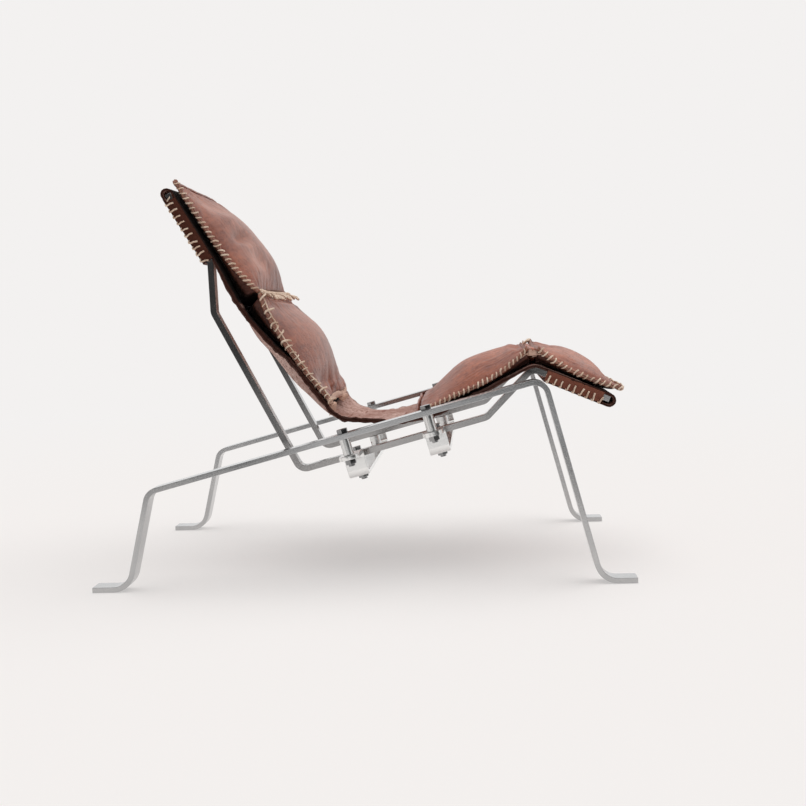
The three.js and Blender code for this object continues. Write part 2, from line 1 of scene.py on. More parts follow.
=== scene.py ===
# %% [markdown]
# # A leather sling lounge chair
# One thick hide hangs in a bent flat-steel frame, and four stuffed pads, laced with thick cream thread,
# lie on it. The steel was drawn as CAD solids, so this script loads them as a fixed frame and only
# finishes them. The hide and the pads are soft, so they are made here, in the space that their plain CAD
# solids hold. The lacing is too thin for a solid and is added last.

# %% Load the frame
import math

import bmesh
import bpy
import numpy as np
from mathutils import Matrix, Vector, noise
from mathutils.bvhtree import BVHTree


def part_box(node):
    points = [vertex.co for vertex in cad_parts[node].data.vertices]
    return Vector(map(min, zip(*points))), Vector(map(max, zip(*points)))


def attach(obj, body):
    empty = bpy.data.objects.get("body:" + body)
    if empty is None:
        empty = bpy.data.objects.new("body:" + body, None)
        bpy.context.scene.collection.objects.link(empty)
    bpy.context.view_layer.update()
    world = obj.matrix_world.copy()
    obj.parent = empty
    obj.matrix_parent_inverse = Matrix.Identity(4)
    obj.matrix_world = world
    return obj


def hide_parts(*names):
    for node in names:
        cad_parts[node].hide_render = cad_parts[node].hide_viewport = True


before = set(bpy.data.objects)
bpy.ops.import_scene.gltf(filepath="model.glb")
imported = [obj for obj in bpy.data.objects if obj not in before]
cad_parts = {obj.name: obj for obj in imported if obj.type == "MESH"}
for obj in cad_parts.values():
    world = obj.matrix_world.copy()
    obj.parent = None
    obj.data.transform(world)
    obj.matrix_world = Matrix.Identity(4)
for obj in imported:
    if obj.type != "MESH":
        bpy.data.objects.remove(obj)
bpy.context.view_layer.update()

scene = bpy.context.scene


# %% [markdown]
# ## The camera
# The place and the angles were fitted to the straight edges of the base, which show long clean lines.
# The picture is square, and a lens of about 54 mm on a 36 mm sensor gives its perspective. The camera
# comes first because every other choice is judged through it.

# %% Set up the camera
CAMERA_PLACE = (0.2247, -2.5178, 0.5175)
CAMERA_ANGLES = (85.423, 1.871, 3.422)
LENS_MM = 53.6
SENSOR_MM = 36


def place_object(name, data):
    """A new object at the origin, linked to the scene."""
    made = bpy.data.objects.new(name, data)
    scene.collection.objects.link(made)
    return made


camera = place_object("camera", bpy.data.cameras.new("camera"))
camera.location = CAMERA_PLACE
camera.rotation_euler = [math.radians(angle) for angle in CAMERA_ANGLES]
camera.data.lens = LENS_MM
camera.data.sensor_width = SENSOR_MM
scene.camera = camera
print("camera at", CAMERA_PLACE)

# %% [markdown]
# ## Shader maths as Python
# A material is a graph of nodes, and long graphs are hard to read as node calls. This small class wraps
# a socket, so that `0.4 + grain * 0.2` adds the Math nodes by itself. Every other kind of node comes
# from its one `node` method, which sets the node's options first and then its sockets.


# %% A socket that does arithmetic
class Wire:
    """A node socket that can be used in a Python expression."""

    def __init__(self, socket):
        self.socket = socket

    @classmethod
    def node(cls, tree, kind, settings=None, inputs=None, out=0):
        made = tree.nodes.new(kind)
        for name, value in (settings or {}).items():
            if name == "stops":
                cls.fill_ramp(made.color_ramp, value)
            else:
                setattr(made, name, value)
        for name, value in (inputs or {}).items():
            if isinstance(value, Wire):
                tree.links.new(value.socket, made.inputs[name])
            else:
                made.inputs[name].default_value = value
        return cls(made.outputs[out])

    @staticmethod
    def fill_ramp(ramp, stops):
        while len(ramp.elements) < len(stops):
            ramp.elements.new(1.0)
        for element, (position, grey) in zip(ramp.elements, stops):
            element.position = position
            element.color = (grey, grey, grey, 1.0)

    def maths(self, operation, first, second):
        tree = self.socket.id_data
        return Wire.node(tree, "ShaderNodeMath", {"operation": operation}, {0: first, 1: second})

    def __add__(self, other):
        return self.maths("ADD", self, other)

    def __radd__(self, other):
        return self.maths("ADD", other, self)

    def __sub__(self, other):
        return self.maths("SUBTRACT", self, other)

    def __rsub__(self, other):
        return self.maths("SUBTRACT", other, self)

    def __mul__(self, other):
        return self.maths("MULTIPLY", self, other)

    def __rmul__(self, other):
        return self.maths("MULTIPLY", other, self)

    def __pow__(self, other):
        return self.maths("POWER", self, other)


# %% Short words for the nodes that every finish uses
def srgb(red, green, blue):
    """A colour as picked on screen, from 0 to 255, in the linear values that Blender works with."""
    def linear(value):
        value /= 255
        return value / 12.92 if value <= 0.04045 else ((value + 0.055) / 1.055) ** 2.4
    return (linear(red), linear(green), linear(blue), 1.0)


def start_finish(name, constants):
    material = bpy.data.materials.new(name)
    material.use_nodes = True
    shader = material.node_tree.nodes["Principled BSDF"]
    for socket, value in constants.items():
        shader.inputs[socket].default_value = value
    return material, material.node_tree, shader


def feed(tree, shader, links):
    for socket, wire in links.items():
        tree.links.new(wire.socket, shader.inputs[socket])


def object_place(tree):
    return Wire.node(tree, "ShaderNodeTexCoord", out="Object")


def stretched(tree, place, scale):
    return Wire.node(tree, "ShaderNodeMapping", {}, {"Vector": place, "Scale": scale})


def cloud(tree, place, scale, detail=3.0):
    return Wire.node(tree, "ShaderNodeTexNoise", {}, {"Vector": place, "Scale": scale, "Detail": detail})


def ramp(tree, value, stops):
    return Wire.node(tree, "ShaderNodeValToRGB", {"stops": stops}, {"Fac": value})


def mix_colour(tree, share, first, second):
    return Wire.node(tree, "ShaderNodeMix", {"data_type": "RGBA"}, {0: share, 6: first, 7: second}, out=2)


def vector_maths(tree, operation, first, second):
    sockets = {0: first, "Scale" if operation == "SCALE" else 1: second}
    return Wire.node(tree, "ShaderNodeVectorMath", {"operation": operation}, sockets)


def attribute(tree, name):
    return Wire.node(tree, "ShaderNodeAttribute", {"attribute_name": name}, out="Fac")


def bump(tree, height, distance):
    return Wire.node(tree, "ShaderNodeBump", {}, {"Height": height, "Distance": distance, "Strength": 1.0})


print("shader words ready")

# %% [markdown]
# ## The studio
# The chair stands on a pale floor that runs into a pale backdrop with no line between them. A floor
# disc that fades into the world's colour does this with no wall, so the chair can be looked at from
# all sides. The light is a wide soft sky overhead and a pale room. Bare steel shows what it mirrors, so
# upright cloths that only reflections see are hung in the room. Flags from black to grey on the camera's
# side, and a pale card beyond the chair, give the bars the dark and light faces that make them look
# like steel.

# %% Make the floor and the world
BACKDROP = srgb(243, 241, 240)
WARM_FLOOR = srgb(244, 239, 236)
FLOOR_RADIUS = 7.0
FLOOR_DROP = 0.0004
FLOOR_FADE = [(0.16, 0.0), (0.55, 1.0)]
SHADOW_SHARE = 0.52
ROOM_LIGHT = 0.34


def seen_directly(tree):
    path = tree.nodes.new("ShaderNodeLightPath").outputs
    seen = Wire(path["Is Camera Ray"]) + Wire(path["Is Glossy Ray"]) + Wire(path["Is Transmission Ray"])
    return Wire.node(tree, "ShaderNodeClamp", {}, {"Value": seen})


def floor_finish():
    material, tree, shader = start_finish("studio_floor", {
        "Roughness": 0.9, "Base Color": WARM_FLOOR, "Specular IOR Level": 0.0})
    reach = Wire.node(tree, "ShaderNodeVectorMath", {"operation": "LENGTH"},
                      {0: object_place(tree)}, out="Value")
    fade = ramp(tree, reach * (1 / FLOOR_RADIUS), FLOOR_FADE)
    glow = Wire.node(tree, "ShaderNodeEmission", {}, {"Color": BACKDROP, "Strength": 1.0})
    share = seen_directly(tree) * (1 - (1 - fade) * SHADOW_SHARE)
    blend = Wire.node(tree, "ShaderNodeMixShader", {}, {0: share, 1: Wire(shader.outputs[0]), 2: glow})
    tree.links.new(blend.socket, tree.nodes["Material Output"].inputs["Surface"])
    return material


def make_floor():
    mesh = bpy.data.meshes.new("studio_floor")
    shape = bmesh.new()
    bmesh.ops.create_circle(shape, cap_ends=True, segments=96, radius=FLOOR_RADIUS)
    shape.to_mesh(mesh)
    shape.free()
    mesh.transform(Matrix.Translation((0, 0, -FLOOR_DROP)))
    mesh.materials.append(floor_finish())
    floor = place_object("studio_floor", mesh)


def make_world():
    world = bpy.data.worlds.new("pale_room")
    world.use_nodes = True
    tree = world.node_tree
    background = tree.nodes["Background"]
    grey = (ROOM_LIGHT, ROOM_LIGHT, ROOM_LIGHT, 1.0)
    colour = mix_colour(tree, seen_directly(tree), grey, BACKDROP)
    tree.links.new(colour.socket, background.inputs["Color"])
    scene.world = world


make_floor()
make_world()
print("floor radius", FLOOR_RADIUS, "m, room light", ROOM_LIGHT)

# %% Hang the lights and the flags
SKY_AIM = (-0.22, -0.12, -1.0)
SKY_LEVEL = 2.15
SKY_ANGLE = 75
CAMERA_SIDE = -1.5
FAR_SIDE = 2.4
# Each cloth's place along Y, its left, right, low and high sides in metres, and its brightness
CLOTHS = {
    "dark_flag": (CAMERA_SIDE, (-0.28, 3.0, 0.28, 1.4), 0.012),
    "back_flag": (CAMERA_SIDE, (-3.0, -0.28, 0.28, 1.4), 0.075),
    "rear_flag": (CAMERA_SIDE, (-3.0, -0.28, 0.0, 0.28), 0.26),
    "grey_flag": (CAMERA_SIDE, (-0.28, 3.0, 0.12, 0.28), 0.70),
    "side_flag": (CAMERA_SIDE, (0.30, 3.0, 0.0, 0.12), 0.03),
    "pale_card": (FAR_SIDE, (-2.5, 4.0, 0.1, 1.25), 0.95),
}


def hang_sky():
    sky = bpy.data.lights.new("soft_sky", "SUN")
    sky.energy = SKY_LEVEL
    sky.angle = math.radians(SKY_ANGLE)
    lamp = place_object("soft_sky", sky)
    lamp.rotation_euler = Vector(SKY_AIM).to_track_quat("-Z", "Y").to_euler()
    lamp.visible_glossy = False


def hang_cloth(name, place, sides, level):
    """An upright cloth of an even brightness, which only reflections see."""
    left, right, low, high = sides
    corners = [(left, low), (right, low), (right, high), (left, high)]
    mesh = bpy.data.meshes.new(name)
    mesh.from_pydata([(x, place, z) for x, z in corners], [], [(0, 1, 2, 3)])
    mesh.materials.append(start_finish(name, {
        "Base Color": (0, 0, 0, 1), "Specular IOR Level": 0.0,
        "Emission Color": (1, 1, 1, 1), "Emission Strength": level})[0])
    cloth = place_object(name, mesh)
    cloth.visible_camera = False
    cloth.visible_diffuse = False
    cloth.visible_shadow = False


hang_sky()
for name, cloth in CLOTHS.items():
    hang_cloth(name, *cloth)
scene.view_settings.view_transform = "Standard"
print("sky", SKY_LEVEL, "with", len(CLOTHS), "cloths")

# %% [markdown]
# ## The steel
# The bars are flat steel, bent cold and brushed along their length. The cross plates are the same steel,
# given a paler copy of its finish as a painted highlight for the bright light they catch. The spacers are
# zinc plated and the bolts are darker. The solids are right, but a CAD edge is perfectly sharp and catches
# no light. So each node is copied, its loose triangles are joined into clean faces, and its sharp edges
# get a small round. The brushing has to follow each run of a bent bar, so every point keeps the angle of
# its run.

# %% Steel finishes
def steel_finish(name, dark, pale, roughness, brush_depth):
    material, tree, shader = start_finish(name, {"Metallic": 1.0})
    place = object_place(tree)
    run = Wire.node(tree, "ShaderNodeVectorRotate", {"rotation_type": "Y_AXIS"},
                    {"Vector": place, "Angle": attribute(tree, "run_angle")})
    lines = cloud(tree, stretched(tree, run, (5.0, 900.0, 900.0)), 1.0, detail=2.0)
    handling = cloud(tree, place, 14.0, detail=4.0)
    specks = cloud(tree, place, 220.0, detail=2.0)
    tone = lines * 0.35 + handling * 0.57 + specks * 0.08
    colour = mix_colour(tree, ramp(tree, tone, [(0.3, 0.0), (0.7, 1.0)]), dark, pale)
    feed(tree, shader, {
        "Base Color": colour,
        "Roughness": roughness - 0.07 + handling * 0.14,
        "Normal": bump(tree, lines, brush_depth),
    })
    return material


bar_steel = steel_finish("brushed_bar", srgb(174, 175, 176), srgb(204, 204, 204), 0.20, 0.00005)
seat_steel = steel_finish("darker_brushed_bar", srgb(158, 157, 156), srgb(190, 188, 187), 0.17, 0.00004)
# Painted highlight: the cross plates share the frame's steel but take this paler copy, which stands in for
# the bright light on them
painted_bright_plate = steel_finish("cross_plate_painted_highlight", srgb(228, 228, 227), srgb(248, 248, 247), 0.22, 0.00004)
zinc = steel_finish("zinc_plate", srgb(206, 207, 207), srgb(236, 236, 235), 0.24, 0.00003)
bolt_steel = steel_finish("dark_bolt_steel", srgb(120, 121, 122), srgb(172, 172, 172), 0.22, 0.00003)
print("steel finishes ready")

# %% Round the steel's edges
BAR_EDGE = 0.0011
FASTENER_EDGE = 0.0009
WELD = 0.00002
FLAT_ANGLE = math.radians(1)
SHARP_ANGLE = math.radians(35)
STEEL_LOOKS = {
    "base_rail": (bar_steel, "frame_steel", BAR_EDGE),
    "cross_member": (painted_bright_plate, "frame_steel", BAR_EDGE),
    "seat_bar": (seat_steel, "seat_steel", BAR_EDGE),
    "crossbar": (seat_steel, "seat_steel", BAR_EDGE),
    "_spacer_": (zinc, "fasteners", FASTENER_EDGE),
    "_bolt_": (bolt_steel, "fasteners", FASTENER_EDGE),
    "_nut_": (bolt_steel, "fasteners", FASTENER_EDGE),
}


def cad_points(node):
    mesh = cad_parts[node].data
    points = np.zeros(len(mesh.vertices) * 3)
    mesh.vertices.foreach_get("co", points)
    return points.reshape(-1, 3)


def run_angles(shape):
    """For each point, the angle in the side view of the longest edge that meets it."""
    turn = math.radians(180)
    lowest = math.radians(-45)
    angles = []
    for vert in shape.verts:
        spans = [edge.other_vert(vert).co - vert.co for edge in vert.link_edges]
        longest = max(spans, key=lambda span: span.x ** 2 + span.z ** 2)
        angles.append((math.atan2(longest.z, longest.x) - lowest) % turn + lowest)
    return angles


def polish(node, finish, slot, edge_round):
    shape = bmesh.new()
    shape.from_mesh(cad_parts[node].data)
    bmesh.ops.remove_doubles(shape, verts=shape.verts, dist=WELD)
    bmesh.ops.dissolve_limit(shape, angle_limit=FLAT_ANGLE, verts=shape.verts, edges=shape.edges)
    sharp = [edge for edge in shape.edges if edge.is_manifold and edge.calc_face_angle() > SHARP_ANGLE]
    bmesh.ops.bevel(shape, geom=sharp, offset=edge_round, offset_type="OFFSET", segments=2,
                    profile=0.5, affect="EDGES", clamp_overlap=True)
    angles = run_angles(shape)
    mesh = bpy.data.meshes.new(node + "_steel")
    shape.to_mesh(mesh)
    shape.free()
    mesh.attributes.new("run_angle", "FLOAT", "POINT").data.foreach_set("value", angles)
    mesh.polygons.foreach_set("use_smooth", [True] * len(mesh.polygons))
    mesh.materials.append(finish)
    piece = place_object(node + "_steel", mesh)
    piece.modifiers.new("flat_faces", "WEIGHTED_NORMAL").keep_sharp = True
    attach(piece, "root")
    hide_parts(node)


polished = 0
for node in sorted(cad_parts):
    for word, look in STEEL_LOOKS.items():
        if word in node:
            polish(node, *look)
            polished += 1
print("polished", polished, "steel pieces")

# %% [markdown]
# ## Leather
# The pads are waxed grain leather and the sling is a thicker, drier hide with raw cut edges. Both have
# a fine pebbled grain, slow changes of tone where the dye took unevenly, and pits and cracks. One
# function makes both. Four attributes on the meshes say where the leather is raw, how much painted shade
# darkens it near seams, on flanges and on cheeks, where painted shade under the pads makes it nearly
# black, and how much dusty tone is painted on it, partly wear and partly the pale sheen on the crowns.

# %% Leather finishes
# Painted sheen, partly wear: the pale dusty tone that the pads' middles are mixed towards
DUSTY_SHEEN = srgb(172, 150, 144)
# Painted shade: the nearly black colour given to leather that the pads cover
PAINTED_SHADE = srgb(26, 13, 9)


def leather_finish(name, deep, pale, raw, gloss, roughness, coat, pits, cracks, grain_mm, grain_depth):
    material, tree, shader = start_finish(name, {
        "Specular IOR Level": gloss, "Coat Roughness": 0.38,
        "Sheen Weight": 0.04, "Sheen Roughness": 0.4, "Sheen Tint": srgb(255, 240, 235)})
    place = object_place(tree)
    tone = cloud(tree, place, 9.0, detail=5.0)
    mottle = cloud(tree, place, 70.0, detail=4.0)
    pebbles = Wire.node(tree, "ShaderNodeTexVoronoi", {"feature": "SMOOTH_F1"},
                        {"Vector": place, "Scale": 1000 / grain_mm, "Smoothness": 0.6})
    creases = cloud(tree, stretched(tree, place, (60.0, 25.0, 60.0)), 1.0, detail=5.0)
    seam = attribute(tree, "seam")
    edge = attribute(tree, "raw")
    hidden = attribute(tree, "hidden")
    blend = ramp(tree, tone * 0.6 + mottle * 0.4, [(0.32, 0.0), (0.68, 1.0)])
    pit = ramp(tree, cloud(tree, place, 190.0, detail=3.0), [(0.55, 0.0), (0.66, 1.0)]) * pits
    lines = cloud(tree, stretched(tree, place, (85.0, 9.0, 85.0)), 1.0, detail=3.0)
    crack = ramp(tree, lines, [(0.60, 0.0), (0.66, 1.0)]) * cracks
    # Painted shade: near seams, on the flanges and on the cheeks, the colour is pulled towards the deep
    # tone
    dyed = mix_colour(tree, blend * (1 - seam * 0.55) * (1 - pit) * (1 - crack), deep, pale)
    # Painted sheen, partly wear: away from their seams, the pads turn towards the dusty tone
    dyed = mix_colour(tree, attribute(tree, "worn") * (tone + 0.5), dyed, DUSTY_SHEEN)
    # Painted shade: where the pads cover the leather, it goes nearly black and loses its coat
    dyed = mix_colour(tree, hidden, dyed, PAINTED_SHADE)
    colour = mix_colour(tree, edge, dyed, raw)
    height = pebbles * -0.5 + creases * 1.2 + mottle * 0.3 - pit - crack
    feed(tree, shader, {
        "Base Color": colour,
        "Roughness": roughness - 0.08 + tone * 0.12 + edge * 0.25,
        "Coat Weight": (1 - edge) * (1 - hidden) * coat,
        "Normal": bump(tree, height, grain_depth),
    })
    return material


pad_leather = leather_finish(
    "waxed_pad_leather", deep=srgb(98, 40, 24), pale=srgb(202, 118, 84), raw=srgb(222, 188, 168),
    gloss=0.40, roughness=0.45, coat=0.18, pits=0.45, cracks=0.25, grain_mm=2.2, grain_depth=0.0010)
sling_leather = leather_finish(
    "dry_sling_hide", deep=srgb(130, 78, 62), pale=srgb(222, 190, 179), raw=srgb(50, 21, 13),
    gloss=0.15, roughness=0.7, coat=0.0, pits=0.9, cracks=0.7, grain_mm=1.8, grain_depth=0.0010)
print("leather finishes ready")

# %% [markdown]
# ## The sling
# The sling is one hide about 5 mm thick. It folds over the top bar and the front bar as two hoods, and
# hangs free between them. A hide this thick hardly drapes, so a simulation would add little. Instead
# its middle line is drawn in the side view: up the back of the top hood, over the fold, down the hang,
# over the knee and round the front bar. Rows of points are then laid across that line.


# %% Side-view helpers
def wobble(*place):
    """Smooth noise from about -1 to 1, the same in every run."""
    return noise.noise(Vector(place))


def ease(t):
    """A smooth step from 0 to 1."""
    return math.sin(min(max(t, 0.0), 1.0) * math.pi / 2) ** 2


def spread(t):
    """A share from -1 to 1, crowded towards both ends, where edges need finer steps."""
    return 0.45 * t + 0.55 * math.sin(t * math.pi / 2)


def heading(degrees):
    return np.array((math.cos(math.radians(degrees)), math.sin(math.radians(degrees))))


def left_of(direction):
    return np.array((-direction[1], direction[0]))


def bar_end(node):
    """Where a crossbar's outer edge lies in the side view, and the direction from there to the bar."""
    corners = np.unique(np.round(cad_points(node)[:, [0, 2]], 5), axis=0)
    middle = corners.mean(axis=0)
    along = np.linalg.eigh(np.cov((corners - middle).T))[1][:, 1]
    chair_middle = np.array((0.0, 0.35))
    along = along * np.sign(along @ (chair_middle - middle))
    return middle - along * np.abs((corners - middle) @ along).max(), along


def arc(centre, radius, start, end, count):
    """Points and left-hand normals on an arc, by its headings in degrees."""
    side = np.sign(end - start)
    normals = [left_of(heading(start + (end - start) * k / count)) for k in range(count + 1)]
    return [(centre - side * radius * normal, normal) for normal in normals]


def straight(start, direction, length, count):
    return [(start + direction * length * k / count, left_of(direction)) for k in range(count + 1)]


def angle_of(direction):
    return math.degrees(math.atan2(direction[1], direction[0]))


head_end, head_down = bar_end("top_crossbar")
leg_end, leg_up = bar_end("front_crossbar")
print("top bar ends at", head_end.round(4), "front bar at", leg_end.round(4))

# %% [markdown]
# The pads lie on the sling, and its face under them is painted nearly black as shade, so their places are
# read first. A class keeps each pad's plane, size and sag, measured on its CAD solid, and turns a place
# along and across the pad into a point.
# What no solid shows is a short list of habits for each pad: which ends are turned down or laced to the
# next pad, which corners hang slack, where an end is stretched, settled or gathered, how bare the leather
# is, how much pale sheen and wear is painted on it, and where the filling swells or has a dent.

# %% Read each pad from the frame
FLANGE = 0.009
LACED_FLANGE = 0.002
RIM_THICK = 0.008
DRAWN_IN = 0.007
CLEAR = 0.3
PATCH = 0.008
SIDE_WITHIN = 0.0004
ROW_WITHIN = 0.0005
SUEDE_LENGTH = 0.018
SUEDE_BLEND = 0.006
UNDER_DEPTH = 0.1
UNDER_FACING = 0.3
# Pairs are for a pad's first and second end. A slack corner has its end, its side and its drop, and a
# swell its place along and across, its length and width, all as shares, and its height.
PADS = {
    "upper_back_pad": {
        "turned": (True, False), "laced": (False, True),
        "slack": ((-1, 1, 0.012), (1, -1, -0.009)), "stretched": (0.008, 0.0), "worn": 0.35,
        "swells": (
            (0.10, -0.50, 0.11, 0.18, -0.016), (0.5, -0.35, 0.18, 0.22, -0.009),
            (-0.6, -0.5, 0.2, 0.3, -0.006), (-0.25, -0.55, 0.12, 0.25, 0.006)),
    },
    "lower_back_pad": {
        "turned": (False, False), "laced": (True, False),
        "slack": ((-1, -1, -0.007),), "settled": (0.0, 0.022),
        "gathered": 0.09, "bare": 0.85, "worn": 0.32,
        "swells": (
            (0.05, 0.2, 0.5, 0.9, 0.011), (0.62, -0.5, 0.14, 0.22, -0.014), (0.8, 0.2, 0.3, 0.10, -0.012),
            (0.75, -0.2, 0.3, 0.07, -0.008)),
    },
    "seat_pad": {
        "turned": (True, False), "laced": (False, True), "slack": ((1, -1, -0.006), (-1, -1, 0.014)),
        "stretched": (0.030, 0.0),
        "swells": ((0.0, 0.2, 0.45, 0.9, 0.008), (0.85, 0.2, 0.25, 1.2, -0.004)),
    },
    "leg_pad": {
        "turned": (False, False), "laced": (True, False), "slack": ((-1, 1, -0.008), (-1, -1, -0.004)),
        "swells": ((0.1, -0.55, 0.3, 0.25, -0.005),), "worn": 0.22,
    },
}


class Pad:
    """The sagging plane, size and surface of one pad, read from its CAD solid."""

    def __init__(self, node, turned, laced, slack, swells,
                 settled=(0.0, 0.0), stretched=(0.0, 0.0), gathered=0.0, bare=0.0, worn=0.0):
        self.node, self.turned, self.laced, self.slack, self.swells = node, turned, laced, slack, swells
        self.settled, self.stretched, self.gathered = settled, stretched, gathered
        self.bare, self.worn = bare, worn
        points = cad_points(node)
        self.half_width = np.abs(points[:, 1]).max()
        corners = points[points[:, 1] < SIDE_WITHIN - self.half_width][:, [0, 2]]
        corners = np.unique(np.round(corners, 4), axis=0)
        rear = corners[:, 0] < corners[:, 0].mean()
        start, end = corners[rear].mean(axis=0), corners[~rear].mean(axis=0)
        self.length = np.linalg.norm(end - start)
        self.middle = (start + end) / 2
        self.along = (end - start) / self.length
        self.front = left_of(self.along)
        self.sag = self.measured_sag(points)
        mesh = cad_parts[node].data
        mesh.calc_loop_triangles()
        triangles = [tuple(triangle.vertices) for triangle in mesh.loop_triangles]
        self.solid = BVHTree.FromPolygons(points.tolist(), triangles)

    def measured_sag(self, points):
        """How far the rim's middle lies below the straight line between its corners."""
        flat = points[:, [0, 2]] - self.middle
        row = np.abs(flat @ self.along) < ROW_WITHIN
        reach = np.abs(points[:, 1])
        rim = row & (reach > reach[row].max() - ROW_WITHIN)
        return -(flat[rim] @ self.front).mean()

    def end(self, along):
        """Whether the nearer end is turned down, whether it is laced, and how wide its flange is."""
        k = 0 if along < 0 else 1
        return self.turned[k], self.laced[k], LACED_FLANGE if self.laced[k] else FLANGE

    def outline(self, u, v, stretch=1.0):
        """Distance along and across the pad at u, v from -1 to 1, with the free sides drawn in."""
        pull = DRAWN_IN * (0.15 if self.end(v)[1] else 1.0)
        extra = stretch * self.stretched[0 if v < 0 else 1] * v * v
        along = v * (self.length / 2 - pull * (1 - u * u) + extra)
        across = u * (self.half_width - DRAWN_IN * (1 - v * v))
        across -= self.gathered * max(u, 0.0) * max(v, 0.0) ** 6
        return along, across

    def sagged(self, along):
        return self.sag * max(0.0, 1 - (2 * along / self.length) ** 2)

    def corners(self, along, across):
        """How far the ends and corners that curl hang below the sagging plane, or stand above it."""
        share = min(max(2 * along / self.length, -1.1), 1.1)
        middle = max(1 - (across / self.half_width) ** 2, 0.0)
        drop = self.settled[0 if along < 0 else 1] * share ** 6 * middle
        for end, side, amount in self.slack:
            drop += amount * max(end * share, 0.0) ** 3 * max(side * across / self.half_width, 0.0) ** 2
        return drop

    def suede(self, along):
        """How bare the leather is: at an end whose suede side is turned out it is nearly raw."""
        return self.bare * ease((along - self.length / 2 + SUEDE_LENGTH) / SUEDE_BLEND)

    def swell(self, u, v):
        """How much fuller or flatter the filling is at u, v than in the CAD pad."""
        extra = 0.0
        for along, across, length, width, amount in self.swells:
            extra += amount * math.exp(-((v - along) / length) ** 2 - ((u - across) / width) ** 2)
        return extra * max(1 - u ** 6, 0.0) * max(1 - v ** 10, 0.0)

    def point(self, along, across, height):
        low = self.sagged(along) + self.corners(along, across)
        x, z = self.middle + self.along * along + self.front * (height - low)
        return Vector((x, across, z))

    def local(self, point):
        """The distance along, across and off the sagging plane of a point."""
        flat = np.array((point[0], point[2])) - self.middle
        along = flat @ self.along
        return along, point[1], flat @ self.front + self.sagged(along) + self.corners(along, point[1])

    def height(self, along, across, side):
        """How high the CAD pad stands off its plane, on the sitter's side (1) or the sling's (-1)."""
        start = self.point(along, across, side * CLEAR + self.corners(along, across))
        x, z = -side * self.front
        hit = self.solid.ray_cast(start, Vector((x, 0, z)))
        return max(CLEAR - hit[3], RIM_THICK / 2) if hit[0] else RIM_THICK / 2

    def crown(self, along, across):
        """The height on the sitter's side, averaged over a small patch so that no CAD facet shows."""
        steps = (-PATCH, 0.0, PATCH)
        return sum(self.height(along + a, across + b, 1) for a in steps for b in steps) / len(steps) ** 2

    def covers(self, place, normal):
        """Whether a place in the side view lies under the pad, on a face that looks at it."""
        along, _, height = self.local((place[0], 0, place[1]))
        under = abs(along) < self.length / 2 and abs(height) < UNDER_DEPTH
        return under and normal @ self.front > UNDER_FACING


pads = [Pad(node, **ends) for node, ends in PADS.items()]
for pad in pads:
    print(pad.node, "length", round(pad.length, 3), "sag", round(float(pad.sag), 4),
          "crown", round(pad.height(0, 0, 1), 3))

# %% Draw the hide's middle line
BAR_THICK = 0.012
HIDE_THICK = 0.005
HIDE_HALF_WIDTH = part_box("sling")[1].y
HIDE_FIT = 0.0003
HOOD_SLACK = 0.004
TOP_HOOD_FRONT = 0.150
TOP_HOOD_BACK = 0.152
FRONT_HOOD = 0.130
KNEE_CENTRE = np.array((0.3361, 0.3673))
KNEE_RADIUS = 0.020
KNEE_ARRIVAL = 28
SLING_SAG = 0.208
SLING_BELLY = 0.054
SLING_SHAPE = [
    (0.119, 0.278), (0.269, 0.522), (0.397, 0.786), (0.502, 1.0),
    (0.615, 0.943), (0.750, 0.765), (0.873, 0.413),
]
ROW_STEP = 0.005
RUN_STEPS = 30
FOLD_STEPS = 14
KNEE_STEPS = 12
HANG_STEPS = 24

snug = BAR_THICK / 2 + HIDE_FIT + HIDE_THICK / 2
slack = BAR_THICK / 2 + HOOD_SLACK + HIDE_THICK / 2
leg_down = -leg_up
leg_drop = angle_of(leg_down)
head_front = left_of(head_down)
leg_top = left_of(leg_down)
knee_arc = arc(KNEE_CENTRE, KNEE_RADIUS + snug, KNEE_ARRIVAL, leg_drop, KNEE_STEPS)


def hang_line(start, end, count):
    """A smooth line through the hang's chosen points."""
    span = end - start
    down = -left_of(span / np.linalg.norm(span))
    inner = [start + span * along + down * SLING_SAG * sag for along, sag in SLING_SHAPE]
    points = np.array([start, start, *inner, end, end])
    line = []
    for k in range(1, len(points) - 2):
        before, a, b, after = points[k - 1:k + 3]
        for t in np.linspace(0, 1, count, endpoint=False):
            line.append(0.5 * (2 * a + (b - before) * t + (2 * before - 5 * a + 4 * b - after) * t ** 2
                               + (3 * a - before - 3 * b + after) * t ** 3))
    return np.array(line + [end])


